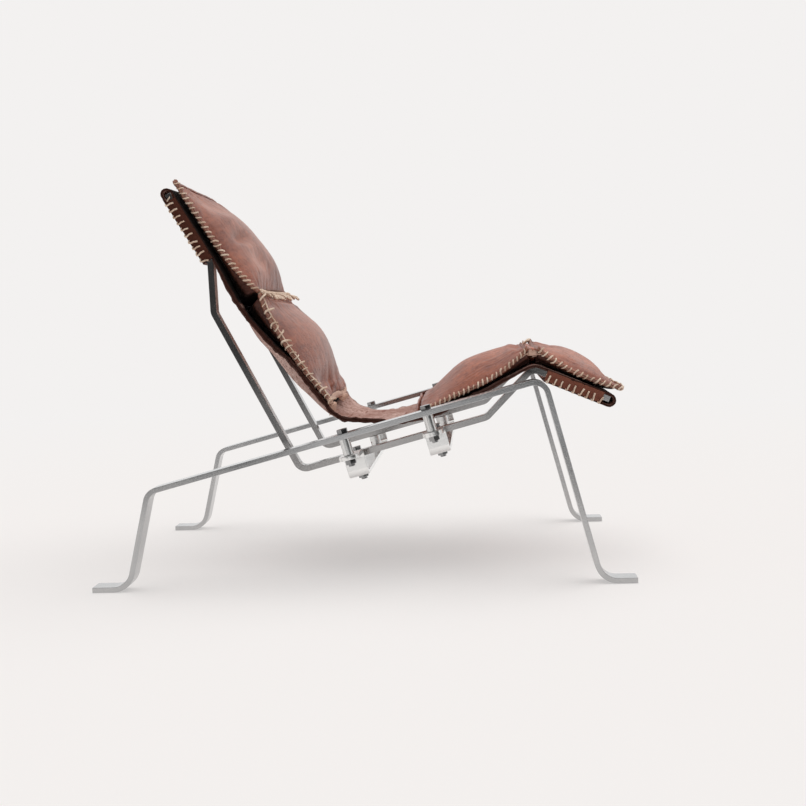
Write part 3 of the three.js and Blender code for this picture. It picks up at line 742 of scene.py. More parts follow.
def hide_line():
    """The hide's middle line in even rows: distances, places, normals and each row's share of the hang."""
    fold_radius = (snug + slack) / 2
    shift = (snug - slack) / 2
    head_angle = angle_of(head_down)
    mouth_start = head_end - head_front * slack + head_down * TOP_HOOD_BACK
    mouth = straight(mouth_start, -head_down, TOP_HOOD_BACK, RUN_STEPS)
    top_fold = arc(head_end + head_front * shift, fold_radius, head_angle + 180, head_angle, FOLD_STEPS)
    front = straight(head_end + head_front * snug, head_down, TOP_HOOD_FRONT, RUN_STEPS)
    leg_run = np.linalg.norm(leg_end + leg_top * snug - knee_arc[-1][0])
    leg = straight(knee_arc[-1][0], leg_down, leg_run, RUN_STEPS)
    front_fold = arc(leg_end + leg_top * shift, fold_radius, leg_drop, leg_drop - 180, FOLD_STEPS)
    under = straight(leg_end - leg_top * slack, -leg_down, FRONT_HOOD, RUN_STEPS)
    hang = hang_line(front[-1][0], knee_arc[0][0], HANG_STEPS)
    slope = np.gradient(hang, axis=0)
    hang = [(at, left_of(d / np.linalg.norm(d))) for at, d in zip(hang, slope)]
    first = mouth + top_fold[1:] + front[1:]
    last = knee_arc[1:] + leg[1:] + front_fold[1:] + under[1:]
    samples = first + hang[1:-1] + last
    places = np.array([at for at, _ in samples])
    normals = np.array([normal for _, normal in samples])
    distance = np.concatenate([[0], np.cumsum(np.linalg.norm(np.diff(places, axis=0), axis=1))])
    hang_from = distance[len(first) - 1]
    hang_to = distance[len(first) + len(hang) - 2]
    rows = np.linspace(0, distance[-1], round(distance[-1] / ROW_STEP) + 1)
    even = [np.interp(rows, distance, column) for column in (*places.T, *normals.T)]
    share = np.clip((rows - hang_from) / (hang_to - hang_from), 0, 1)
    return rows, np.stack(even[:2], 1), np.stack(even[2:], 1), share


hide_distance, hide_places, hide_normals, hang_share = hide_line()
print("hide length", round(hide_distance[-1], 3), "m in", len(hide_distance), "rows")


# %% Lay the hide across its line
COLUMNS = 64
RAGGED = 0.0055
EDGE_SWELL = 0.9
BACK_DROOP = 0.016
FAR_DROOP = 0.018
EDGE_RIPPLE = 0.0035
FRAY = 0.0007
CUT_RAW = 1.0
CORNER_RAW = 0.8
SHADE_TO = 0.72
SHADE_FADE = 0.16
KNEE_LIGHT = 0.05
KNEE_FADE = 0.08
SMOOTH_BELOW = math.radians(50)


def belly(share, across):
    """How far the hang bellies away from the sitter, at a share of its length and of its half width."""
    body = 0.2 + 0.8 * ease((0.62 - share) / 0.3)
    return SLING_BELLY * body * ease(share / 0.22) * ease((1 - share) / 0.3) * (1 - across ** 2) ** 2


def hide_point(row, across, offset):
    """A point of the hide: its row, its place across from -1 to 1, and its height off the middle line."""
    distance = hide_distance[row]
    share = hang_share[row]
    side = math.copysign(1.0, across)
    free = ease(share / 0.1) * ease((1 - share) / 0.1)
    ragged = 0.5 + 0.6 * wobble(distance * 45, side * 7, 0.3) + 0.8 * wobble(distance * 150, side * 9, 1.7)
    ragged += 2.2 * max(wobble(distance * 70, side * 5, 7.7) - 0.25, 0.0)
    inset = RAGGED * ragged * abs(across) ** 12
    ripple = EDGE_RIPPLE * wobble(distance * 16, side * 3, 5.1) * abs(across) ** 5 * free
    ripple += 0.5 * EDGE_RIPPLE * wobble(distance * 75, side * 4, 2.6) * abs(across) ** 24 * free
    ripple -= BACK_DROOP * math.exp(-((share - 0.22) / 0.14) ** 2) * across ** 2
    ripple -= FAR_DROOP * math.exp(-((share - 0.56) / 0.11) ** 2) * max(across, 0.0) ** 2
    offset *= 1 + EDGE_SWELL * (1 + wobble(distance * 95, side * 6, 3.9)) * free * abs(across) ** 40
    y = across * (HIDE_HALF_WIDTH - inset)
    x, z = hide_places[row] + hide_normals[row] * (offset + ripple - belly(share, across))
    return (x, y, z)


def hide_ring(row):
    """Points round one row: along the face that is sat on, round the cut edge and back underneath."""
    places = [spread(2 * k / COLUMNS - 1) for k in range(COLUMNS + 1)]
    half = HIDE_THICK / 2
    face = [hide_point(row, across, half) for across in places]
    under = [hide_point(row, across, -half) for across in reversed(places)]
    left_cut = hide_point(row, 1.0, 0.0)
    right_cut = hide_point(row, -1.0, 0.0)
    fray = FRAY * (1 + wobble(hide_distance[row] * 300, 2.0, 4.0))
    return face + [(left_cut[0], left_cut[1] + fray, left_cut[2])] + under + [
        (right_cut[0], right_cut[1] - fray, right_cut[2])]


def loft(rings, start=0):
    """Quads between rings of points, and one flat face to close each end."""
    count = len(rings[0])
    faces = []
    for i in range(len(rings) - 1):
        for j in range(count):
            a, b = start + i * count + j, start + i * count + (j + 1) % count
            faces.append((a, b, b + count, a + count))
    last = start + (len(rings) - 1) * count
    faces.append(tuple(range(start + count - 1, start - 1, -1)))
    faces.append(tuple(range(last, last + count)))
    return faces


def make_mesh(name, points, faces, finish, attributes):
    """A smooth piece of leather, with a value for each point in every attribute."""
    mesh = bpy.data.meshes.new(name)
    mesh.from_pydata([tuple(point) for point in points], [], faces)
    for key, values in attributes.items():
        mesh.attributes.new(key, "FLOAT", "POINT").data.foreach_set("value", list(values))
    shape = bmesh.new()
    shape.from_mesh(mesh)
    bmesh.ops.recalc_face_normals(shape, faces=shape.faces)
    shape.to_mesh(mesh)
    shape.free()
    mesh.polygons.foreach_set("use_smooth", [True] * len(mesh.polygons))
    mesh.set_sharp_from_angle(angle=SMOOTH_BELOW)
    mesh.materials.append(finish)
    return place_object(name, mesh)


hide_rings = [hide_ring(row) for row in range(len(hide_distance))]
hide_points = [point for ring in hide_rings for point in ring]
hide_faces = loft(hide_rings)
raw_ring = [0.0] * (2 * COLUMNS + 4)
for place in (0, COLUMNS, COLUMNS + 2, 2 * COLUMNS + 2):
    raw_ring[place] = CORNER_RAW
for place in (COLUMNS + 1, 2 * COLUMNS + 3):
    raw_ring[place] = CUT_RAW
hide_raw = raw_ring * len(hide_rings)
# Painted shade: the sling's face under the pads goes nearly black, fading towards its far edge and near
# the knee
hide_painted_shade = []
under_shade = [1 - ease((2 * k / COLUMNS - 1 - SHADE_TO) / SHADE_FADE) for k in range(COLUMNS + 1)]
for place, normal in zip(hide_places, hide_normals):
    from_knee = np.linalg.norm(place - KNEE_CENTRE)
    under_pad = float(any(pad.covers(place, normal) for pad in pads))
    under_pad *= ease((from_knee - KNEE_LIGHT) / KNEE_FADE)
    hide_painted_shade += [under_pad * shade for shade in under_shade] + [0.0] * (COLUMNS + 3)
painted_shade_share = sum(hide_painted_shade) / len(hide_painted_shade)
print("hide:", len(hide_points), "points, share under the pads", round(painted_shade_share, 2))

# %% [markdown]
# The sides of each hood are closed by a laced cheek, a strip of the same hide that wraps the side bar.
# It is a small loft: the same curved section, repeated along the hood.

# %% Close the sides of the hoods
CHEEK_SETBACK = 0.014
CHEEK_THICK = 0.004
CHEEK_BULGE = 0.0025
CHEEK_INSET = 0.001
CHEEK_UNEVEN = 0.0006
CHEEK_STEPS = 7
CHEEK_SPACING = 0.006
# Painted shade on the cheeks: how much of the dark cut-edge colour the top and the front hood's cheeks
# take, and a seam value that takes them to the deep tone
CHEEK_SHADE = (0.75, 0.1)
CHEEK_SEAM_SHADE = 2.0


def cheek_ring(at, front, side, distance):
    """The section of a cheek, from the hood's front panel round the bar to its back panel."""
    outer, inner = [], []
    for k in range(CHEEK_STEPS + 1):
        t = k / CHEEK_STEPS
        depth = snug - (snug + slack) * t
        swell = CHEEK_BULGE * math.sin(math.pi * t) + CHEEK_UNEVEN * wobble(distance * 60, t * 3, side)
        flat = at + front * depth
        y = HIDE_HALF_WIDTH - CHEEK_INSET + swell
        outer.append((flat[0], side * y, flat[1]))
        inner.append((flat[0], side * (y - CHEEK_THICK), flat[1]))
    return outer + inner[::-1]


def cheek_rings(end, inward, front, length, side):
    steps = np.linspace(CHEEK_SETBACK, length, round((length - CHEEK_SETBACK) / CHEEK_SPACING))
    return [cheek_ring(end + inward * distance, front, side, distance) for distance in steps]


HOODS = ((head_end, head_down, head_front, TOP_HOOD_FRONT), (leg_end, leg_up, leg_top, FRONT_HOOD))
open_points = len(hide_points)
for side in (-1, 1):
    for hood, dark in zip(HOODS, CHEEK_SHADE):
        rings = cheek_rings(*hood, side)
        hide_faces += loft(rings, start=len(hide_points))
        hide_points += [point for ring in rings for point in ring]
        hide_raw += [dark] * (len(rings) * len(rings[0]))
        hide_painted_shade += [0.0] * (len(rings) * len(rings[0]))

# Painted shade: the cheeks take the seam value that darkens them to the deep tone
hide_seam_shade = [0.0] * open_points + [CHEEK_SEAM_SHADE] * (len(hide_points) - open_points)
sling = make_mesh("sling_hide", hide_points, hide_faces, sling_leather,
                  {"raw": hide_raw, "hidden": hide_painted_shade, "seam": hide_seam_shade})
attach(sling, "root")
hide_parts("sling")

# %% [markdown]
# ## The pads
# Each pad is two panels of soft leather, sewn together round a filling, with a flat flange outside the
# seam that the lacing wraps. A swollen shape with puckered seams is what cloth simulation gives, so
# the two panels are blown up with pressure. The leather is cut a little larger than the seam that
# holds it, and it is this extra that folds into puckers. The CAD pad says where the pad lies and how
# high it swells, and the simulation may move no point far from there.

# %% Build two flat panels that share a seam
PANEL_STEP = 0.0045
PANEL_LIFT = 0.001
SEAM_FULLNESS = 0.005
SEAM_ROLL = 0.022
SEAM_ROLL_WIDTH = 0.024
SEAM_SHADE = 0.030
EDGE_SHADE = 0.002
UNSHADED_KNEE = 0.015
UNSHADED_KNEE_FADE = 0.03
SLING_REACH = 0.08
SLING_GAP = 0.001

sling_points = [vert.co for vert in sling.data.vertices]
sling_faces = [tuple(face.vertices) for face in sling.data.polygons]
sling_surface = BVHTree.FromPolygons(sling_points, sling_faces)


def back_depth(pad, u, v, along, across):
    """How far the back panel hangs below the pad's plane: onto the sling, but not at the free edges."""
    x, z = -pad.front
    hit = sling_surface.ray_cast(pad.point(along, across, 0.0), Vector((x, 0, z)), SLING_REACH)
    if not hit[0]:
        return SLING_GAP
    lies_down = pad.end(v)[1] or pad.settled[0 if v < 0 else 1] > 0
    free_end = 0.0 if lies_down else abs(v) ** 6
    return max(hit[3] - SLING_GAP, SLING_GAP) * (1 - abs(u) ** 12) * (1 - free_end)


def front_height(pad, u, v, along, solid_place):
    """How high the front panel stands: as high as the CAD pad, and fuller beside a laced end."""
    height = pad.crown(*solid_place) - RIM_THICK / 2 + PANEL_LIFT
    if pad.end(v)[1]:
        from_seam = pad.length / 2 - abs(along)
        roll = math.exp(-((from_seam - SEAM_ROLL) / SEAM_ROLL_WIDTH) ** 2)
        height += SEAM_FULLNESS * roll * (1 - u ** 4)
    return height


def panel_faces(number, rows, columns):
    """Quads of both panels, each looking outwards."""
    faces = []
    for side in (1, -1):
        for i in range(rows):
            for j in range(columns):
                quad = [number[side, i, j], number[side, i + 1, j],
                        number[side, i + 1, j + 1], number[side, i, j + 1]]
                faces.append(tuple(quad[::side]))
    return faces


def panel_shape(pad):
    """Points and faces of a closed pillow on the CAD pad, and how near each point is to the seam."""
    columns = round(2 * pad.half_width / PANEL_STEP)
    rows = round(pad.length / PANEL_STEP)
    rim_u = 1 - FLANGE / pad.half_width
    solid_v = 1 - 2 * FLANGE / pad.length
    first, last = (1 - 2 * pad.end(side)[2] / pad.length for side in (-1, 1))
    points, number, seam = [], {}, []
    for side in (1, -1):
        for i in range(rows + 1):
            for j in range(columns + 1):
                on_seam = i in (0, rows) or j in (0, columns)
                if on_seam and side == -1:
                    number[side, i, j] = number[1, i, j]
                    continue
                u = rim_u * spread(2 * j / columns - 1)
                v = (first + last) * i / rows - first
                solid_place = pad.outline(u, v * solid_v / (first if v < 0 else last), stretch=0.0)
                along, across = pad.outline(u, v)
                if side == -1:
                    height = -back_depth(pad, u, v, along, across)
                else:
                    height = front_height(pad, u, v, along, solid_place)
                number[side, i, j] = len(points)
                points.append(pad.point(along, across, 0.0 if on_seam else height))
                from_side = pad.half_width * (rim_u - abs(u))
                gap = min(i * PANEL_STEP, (rows - i) * PANEL_STEP, from_side)
                seam.append((gap, side, from_side))
    return points, panel_faces(number, rows, columns), seam


def start_pillow(pad):
    """The flat pillow, with its seam and its back held still."""
    points, faces, seam = panel_shape(pad)
    # Painted shade near the seam: strongest on it, fading in over SEAM_SHADE
    near = [math.exp(-gap / SEAM_SHADE) for gap, _, _ in seam]
    # Painted shade: the back panel goes nearly black a little in from the seam, and the seam row half
    # dark, except near the knee
    hidden = []
    for point, (gap, side, from_side) in zip(points, seam):
        from_knee = (Vector((point.x, point.z)) - Vector(KNEE_CENTRE)).length
        shade = 1 - math.exp(-from_side / EDGE_SHADE) if side == -1 else 0.5 * (gap == 0)
        hidden.append(shade * ease((from_knee - UNSHADED_KNEE) / UNSHADED_KNEE_FADE))
    pillow = make_mesh(pad.node + "_pillow", points, faces, pad_leather, {"seam": near, "hidden": hidden})
    held = pillow.vertex_groups.new(name="held")
    held.add([k for k, (gap, side, _) in enumerate(seam) if gap == 0 or side == -1], 1.0, "REPLACE")
    return pillow


for pad in pads:
    gaps = [back_depth(pad, 0.0, share, share * pad.length / 2, 0.0) for share in (-0.97, 0.97)]
    print(pad.node, "ends lie over the sling by", [round(gap, 3) for gap in gaps])
pillows = [start_pillow(pad) for pad in pads]
print("panels:", [len(pillow.data.vertices) for pillow in pillows], "points")

# %% Blow the pads up
PRESSURE = 4.0
EXTRA_LEATHER = 0.008
SIMULATED_FRAMES = 20
MOST_MOVE = 0.006
STUFFING = {
    "quality": 5, "mass": 0.3, "tension_stiffness": 20, "compression_stiffness": 20,
    "shear_stiffness": 8, "bending_stiffness": 4, "use_pressure": True,
    "uniform_pressure_force": PRESSURE, "shrink_min": -EXTRA_LEATHER, "vertex_group_mass": "held",
}


def add_stuffing(pillow):
    cloth = pillow.modifiers.new("stuffing", "CLOTH")
    for setting, value in STUFFING.items():
        setattr(cloth.settings, setting, value)
    cloth.settings.effector_weights.gravity = 0
    cloth.collision_settings.use_collision = False
    cloth.point_cache.frame_end = SIMULATED_FRAMES


def settle(pillow):
    """Keep what the simulation made, with each point's move limited, and drop the modifier."""
    rest = np.array([vert.co for vert in pillow.data.vertices])
    result = pillow.evaluated_get(bpy.context.evaluated_depsgraph_get()).data
    moved = np.array([vert.co for vert in result.vertices]) - rest
    size = np.linalg.norm(moved, axis=1, keepdims=True)
    limited = moved * (MOST_MOVE * np.tanh(size / MOST_MOVE) / np.maximum(size, 1e-9))
    pillow.modifiers.clear()
    pillow.data.vertices.foreach_set("co", (rest + limited).ravel())
    pillow.data.update()
    return size.max()


for pillow in pillows:
    add_stuffing(pillow)
for step in range(1, SIMULATED_FRAMES + 1):
    scene.frame_set(step)
print("stuffing moved up to", [round(float(settle(pillow)), 4) for pillow in pillows], "m")
scene.frame_set(1)

# %% [markdown]
# The simulation gives the swell and the broad folds. What is finer than its mesh comes after it: one
# subdivision, then the dimples that each stitch pulls into the seam, long creases that run in from the
# laced ends, and the lumps and dents of the filling. The flange is a separate strip of two layers, swept
# round the outline outside the seam. Scraps of suede stick out at the ends of three pads.

# %% Outline and flange of a pad
FLANGE_SECTION = [
    (-0.003, 0.0015), (0.002, 0.0040), (0.0066, 0.0041), (0.009, 0.0024), (0.0080, 0.0003),
    (0.0080, -0.0003), (0.009, -0.0024), (0.0066, -0.0041), (0.002, -0.0040), (-0.003, -0.0015),
]
FLANGE_RAW = [0.0, 0.0, 0.04, 0.16, 0.30, 0.30, 0.16, 0.04, 0.0, 0.0]
FLANGE_STEP = 0.0036
STITCH_SPACING = 0.0108
TURNED_DOWN = math.radians(80)
FAR_CORNER = 0.12
FAR_CORNER_FADE = 0.08
OUTLINE_POINTS = 90
EDGES = ("left", "end", "right", "start")


def edge_line(pad, edge, count):
    """One side of a pad's outline, in the order that keeps the outside on the thread's outer side."""
    t = np.linspace(-1, 1, count)
    one = np.ones(count)
    u, v = {"left": (one, t), "end": (-t, one), "right": (-one, -t), "start": (t, -one)}[edge]
    return np.array([pad.outline(a, b) for a, b in zip(u, v)])


def round_outline(pad):
    """The whole outline as evenly spaced points, with its corners rounded by averaging neighbours."""
    line = np.concatenate([edge_line(pad, edge, OUTLINE_POINTS)[:-1] for edge in EDGES])
    closed = np.vstack([line, line[:1]])
    length = np.concatenate([[0], np.cumsum(np.linalg.norm(np.diff(closed, axis=0), axis=1))])
    count = round(length[-1] / FLANGE_STEP)
    places = np.linspace(0, length[-1], count, endpoint=False)
    even = np.stack([np.interp(places, length, column) for column in closed.T], axis=1)
    for _ in range(3):
        even = (np.roll(even, 1, axis=0) + even * 2 + np.roll(even, -1, axis=0)) / 4
    return even


def fold(pad, at, outward):
    """How far the flange turns down towards the sling, in radians, at a place on the outline."""
    facing_end = outward[0] ** 2
    lip = max(-at[1] / pad.half_width, 0.0) ** 10
    end_turn = facing_end * pad.end(at[0])[0] * (1 - lip)
    far_corner = ease((abs(at[0]) - pad.length / 2 + FAR_CORNER) / FAR_CORNER_FADE)
    far_corner *= (at[1] > 0) * (1 - facing_end)
    return TURNED_DOWN * max(end_turn, far_corner)


def flange_place(pad, at, outward, out, height):
    """A point of the flange, by its distance out from the seam and its height, before its own fold."""
    bend = fold(pad, at, outward)
    rim = FLANGE + (pad.end(at[0])[2] - FLANGE) * outward[0] ** 2
    out = min(out, out * rim / FLANGE + 0.002)
    reach = out * math.cos(bend) + height * math.sin(bend) - rim
    along, across = np.array(at) + np.array(outward) * reach
    return pad.point(along, across, height * math.cos(bend) - out * math.sin(bend))


def flange_rings(pad):
    """The flange's section at each point of the outline, pinched by the stitches and frayed."""
    even = round_outline(pad)
    step = np.roll(even, -1, axis=0) - np.roll(even, 1, axis=0)
    step /= np.linalg.norm(step, axis=1, keepdims=True)
    rings = []
    for k, (at, tangent) in enumerate(zip(even, step)):
        outward = np.array((tangent[1], -tangent[0])) * np.sign(tangent[1] * at[0] - tangent[0] * at[1])
        pinch = 1 - 0.2 * math.cos(2 * math.pi * k * FLANGE_STEP / STITCH_SPACING)
        lift = 0.0009 * wobble(*at * 40, 3.3) + 0.0012 * wobble(*at * 14, 8.1)
        fray = 0.0008 * wobble(*at * 130, 6.0)
        ring = []
        for out, height in FLANGE_SECTION:
            frayed = out + (fray if out > 0.007 else 0)
            ring.append(flange_place(pad, at, outward, frayed, height * pinch + lift))
        rings.append(ring)
    return rings


print("flange sections:", [len(flange_rings(pad)) for pad in pads])

# %% Pucker the seams and join pillow and flange
PUCKER = 0.0011
CREASE = 0.0017
LUMP = 0.0042
CALM_RIM = 0.006
DIMPLE_REACH = 0.010
END_CREASE_REACH = 0.070
SIDE_CREASE_REACH = 0.05
FLANGE_SEAM_SHADE = 0.9
TAG_ROOT = 0.008
TAG_SINK = 0.005
TAG_STEPS = 9
TAG_RAW = 0.9
TAG_SECTION = ((-1, 0.0012), (0, 0.0016), (1, 0.0012), (1, -0.0012), (0, -0.0008), (-1, -0.0012))


def pucker(pad, points):
    """Points of the pillow with stitch dimples, creases from the laced ends and soft lumps."""
    result = []
    turn = 2 * math.pi / STITCH_SPACING
    for point in points:
        along, across, height = pad.local(point)
        if height > 0:
            share = 2 * along / pad.length
            side_gap = max(pad.half_width - DRAWN_IN * (1 - share ** 2) - FLANGE - abs(across), 0)
            end_gap = max(pad.length / 2 - pad.end(along)[2] - abs(along), 0)
            inside = 1 - math.exp(-min(side_gap, end_gap) / CALM_RIM)
            side_wave = math.cos(turn * along + 5 * wobble(along * 30, 1.0, 2.0))
            end_wave = math.cos(turn * across + 5 * wobble(across * 30, 3.0, 2.0))
            dimple = math.exp(-side_gap / DIMPLE_REACH) * side_wave
            dimple += math.exp(-end_gap / DIMPLE_REACH) * end_wave
            bend = 1.5 * wobble(along * 22, across * 7, 2.2)
            fold_line = math.hypot(wobble(across * 90 + bend, along * 13, 4.0), 0.06)
            crease = (0.3 - fold_line) * math.exp(-end_gap / END_CREASE_REACH) * 2
            crease += wobble(along * 60, across * 14, 9.0) * math.exp(-side_gap / SIDE_CREASE_REACH) * 0.5
            lump = wobble(along * 11, across * 8, 1.5 + pad.length)
            height += inside * (PUCKER * dimple + CREASE * crease + LUMP * lump)
            height += pad.swell(across / pad.half_width, share)
        result.append(pad.point(along, across, height))
    return result


def tag(pad, end, across, width, length, rise, twist=0):
    """A scrap of suede left at a pad's end; the more it twists, the more its face looks sideways."""
    rings = []
    for step in np.linspace(-TAG_ROOT, length, TAG_STEPS):
        narrowed = 1 - 0.35 * max(step / length, 0.0) ** 4
        turn = math.radians(twist) * ease(2 * step / length)
        ring = []
        for side, thick in TAG_SECTION:
            half = width / 2 * narrowed * (1 + 0.35 * wobble(step * 90, across * 50, side))
            lift = -TAG_SINK + rise * step + 0.006 * wobble(step * 60, across * 40 + side * 0.6, 4.0)
            sideways = side * half * math.cos(turn) - thick * math.sin(turn)
            lift += side * half * math.sin(turn) + thick * math.cos(turn)
            ring.append(pad.point(end * (pad.length / 2 - FLANGE + step), across + sideways, lift))
        rings.append(ring)
    return rings


def flange_faces(rings, start):
    """Quads between the flange's sections, which close into a ring."""
    count = len(FLANGE_SECTION)
    faces = []
    for i in range(len(rings)):
        a, b = start + i * count, start + (i + 1) % len(rings) * count
        for j in range(count):
            k = (j + 1) % count
            faces.append((a + j, a + k, b + k, b + j))
    return faces


def finish_pad(pad, pillow, tags):
    """Join the puckered pillow, its flange and its scraps of suede into one piece."""
    smoother = pillow.modifiers.new("one_subdivision", "SUBSURF")
    smoother.levels = smoother.render_levels = 1
    mesh = bpy.data.meshes.new_from_object(pillow.evaluated_get(bpy.context.evaluated_depsgraph_get()))
    bpy.data.objects.remove(pillow)
    points = pucker(pad, [vert.co for vert in mesh.vertices])
    faces = [tuple(polygon.vertices) for polygon in mesh.polygons]
    seam, hidden = ([item.value for item in mesh.attributes[key].data] for key in ("seam", "hidden"))
    # Painted sheen, partly wear: strongest in the middle of the pad and none at the seam
    worn = [pad.worn * (1 - near) for near in seam]
    raw = [pad.suede(pad.local(point)[0]) for point in points]
    for along, _ in round_outline(pad):
        raw += [max(share, pad.suede(along)) for share in FLANGE_RAW]
    rings = flange_rings(pad)
    faces += flange_faces(rings, start=len(points))
    points += [point for ring in rings for point in ring]
    # The flanges are darkened as painted shade, so the stitches stand out against them
    seam += [FLANGE_SEAM_SHADE] * (len(points) - len(seam))
    for strip in tags:
        faces += loft(strip, start=len(points))
        points += [point for ring in strip for point in ring]
    raw += [TAG_RAW] * (len(points) - len(raw))
    for amounts in (seam, hidden, worn):
        amounts += [0.0] * (len(points) - len(amounts))
    piece = make_mesh(pad.node + "_leather", points, faces, pad_leather,
                      {"seam": seam, "raw": raw, "hidden": hidden, "worn": worn})
    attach(piece, "root")
    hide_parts(pad.node)
    return piece


upper_back, lower_back, seat, leg = pads
# Each scrap's place across the pad, its width, length and rise, and its twist in degrees
lower_tags = [tag(lower_back, 1, *sizes) for sizes in (
    (-0.176, 0.020, 0.022, 0.3, 70), (-0.112, 0.034, 0.024, 0.15), (0.090, 0.022, 0.016, 0.9, 50))]
seat_tags = [tag(seat, 1, *sizes) for sizes in (
    (0.155, 0.060, 0.016, 0.7), (-0.188, 0.012, 0.026, -0.5, 80))]
leg_tags = [tag(leg, -1, *sizes) for sizes in (
    (-0.190, 0.010, 0.022, -0.7, 80), (-0.182, 0.009, 0.012, -1.2, 70), (0.184, 0.024, 0.016, 0.3))]
finished_pads = [finish_pad(pad, pillow, tags)
                 for pad, pillow, tags in zip(pads, pillows, ((), lower_tags, seat_tags, leg_tags))]
print("pads:", [len(piece.data.polygons) for piece in finished_pads], "faces")

# %% [markdown]
# ## The lacing
# Thick cream thread is whipped over the sides of every pad and of both hoods, and over the front of the
# leg pad. Hundreds of nearly equal stitches along an edge are what Geometry Nodes do well: a guide line
# is cut into even steps, one stitch is set on each step, and a little seeded unevenness keeps it from
# looking machine made. The stitch itself is a half loop over the edge, and its slant, reach and thickness
# are inputs of the tree.
# Two more trees run a plain cord and a three-strand rope along a guide line. They make the thread beside
# the blanket stitches, the rope on the seam of the back, and the rolled leather at the knee.


# %% Thread finish
def thread_finish():
    material, tree, shader = start_finish("cream_thread", {"Specular IOR Level": 0.3})
    place = object_place(tree)
    fibres = cloud(tree, place, 900.0, detail=3.0)
    soil = cloud(tree, place, 45.0, detail=4.0)
    tone = ramp(tree, soil * 0.6 + fibres * 0.4, [(0.3, 0.0), (0.65, 1.0)])
    feed(tree, shader, {
        "Base Color": mix_colour(tree, tone, srgb(172, 132, 104), srgb(255, 236, 216)),
        "Roughness": 0.7 + fibres * 0.2,
        "Normal": bump(tree, fibres, 0.0005),
    })
    return material


cream_thread = thread_finish()
print("thread finish ready")


# %% Trees that lay thread along a guide line
LOOP = math.pi * 1.08
STITCH_POINTS = 8
MOST_TILT = (0.35, 0.35, 1.0)


def new_tree(name, inputs):
    """An empty Geometry Nodes tree with a geometry going in and out and the named inputs."""
    tree = bpy.data.node_groups.new(name, "GeometryNodeTree")
    tree.interface.new_socket("Guide", in_out="INPUT", socket_type="NodeSocketGeometry")
    for socket, kind in inputs.items():
        tree.interface.new_socket(socket, in_out="INPUT", socket_type="NodeSocket" + kind)
    tree.interface.new_socket("Thread", in_out="OUTPUT", socket_type="NodeSocketGeometry")
    entry = tree.nodes.new("NodeGroupInput")
    return tree, {socket.name: Wire(socket) for socket in entry.outputs if socket.name}


def end_tree(tree, geometry, finish):
    real = Wire.node(tree, "GeometryNodeRealizeInstances", {}, {"Geometry": geometry})
    shaded = Wire.node(tree, "GeometryNodeSetShadeSmooth", {}, {"Geometry": real})
    dressed = Wire.node(tree, "GeometryNodeSetMaterial", {}, {"Geometry": shaded, "Material": finish})
    tree.links.new(dressed.socket, tree.nodes.new("NodeGroupOutput").inputs[0])
    return tree


def even_steps(tree, line, step):
    """A guide line as a curve with a point at every step."""
    curve = Wire.node(tree, "GeometryNodeMeshToCurve", {}, {"Mesh": line})
    return Wire.node(tree, "GeometryNodeResampleCurve", {"mode": "LENGTH"},
                     {"Curve": curve, "Length": step})


def facing_of(tree):
    """The direction that each point of a guide line keeps."""
    kind = {"data_type": "FLOAT_VECTOR"}
    return Wire.node(tree, "GeometryNodeInputNamedAttribute", kind, {"Name": "facing"})


def cord(tree, curve, thickness, sides, **more):
    """A round cord along a curve, closed at its ends."""
    section = Wire.node(tree, "GeometryNodeCurvePrimitiveCircle", {},
                        {"Resolution": sides, "Radius": thickness * 0.5})
    return Wire.node(tree, "GeometryNodeCurveToMesh", {},
                     {"Curve": curve, "Profile Curve": section, "Fill Caps": True, **more})


def stitch_shape(tree, given):
    """One half loop over an edge: X runs along the edge, Y points out of it and Z is its face."""
    line = Wire.node(tree, "GeometryNodeCurvePrimitiveLine")
    line = Wire.node(tree, "GeometryNodeResampleCurve", {"mode": "COUNT"},
                     {"Curve": line, "Count": STITCH_POINTS})
    t = Wire.node(tree, "GeometryNodeSplineParameter", out="Factor")
    turn = (0.5 - t) * LOOP
    cosine = turn.maths("COSINE", turn, 0.0)
    sine = turn.maths("SINE", turn, 0.0)
    rising = sine.maths("MAXIMUM", sine, 0.0)
    reach, depth, thread = given["Reach"], given["Depth"], given["Thickness"]
    place = Wire.node(tree, "ShaderNodeCombineXYZ", {}, {
        "X": given["Slant"] * (t - 0.5) + rising * rising * rising * given["Hook"],
        "Y": cosine * (reach + thread * 0.6) - reach,
        "Z": sine * (depth * 0.5 + thread * 0.45) + rising * rising * given["Climb"],
    })
    line = Wire.node(tree, "GeometryNodeSetPosition", {}, {"Geometry": line, "Position": place})
    return cord(tree, line, thread, 5)


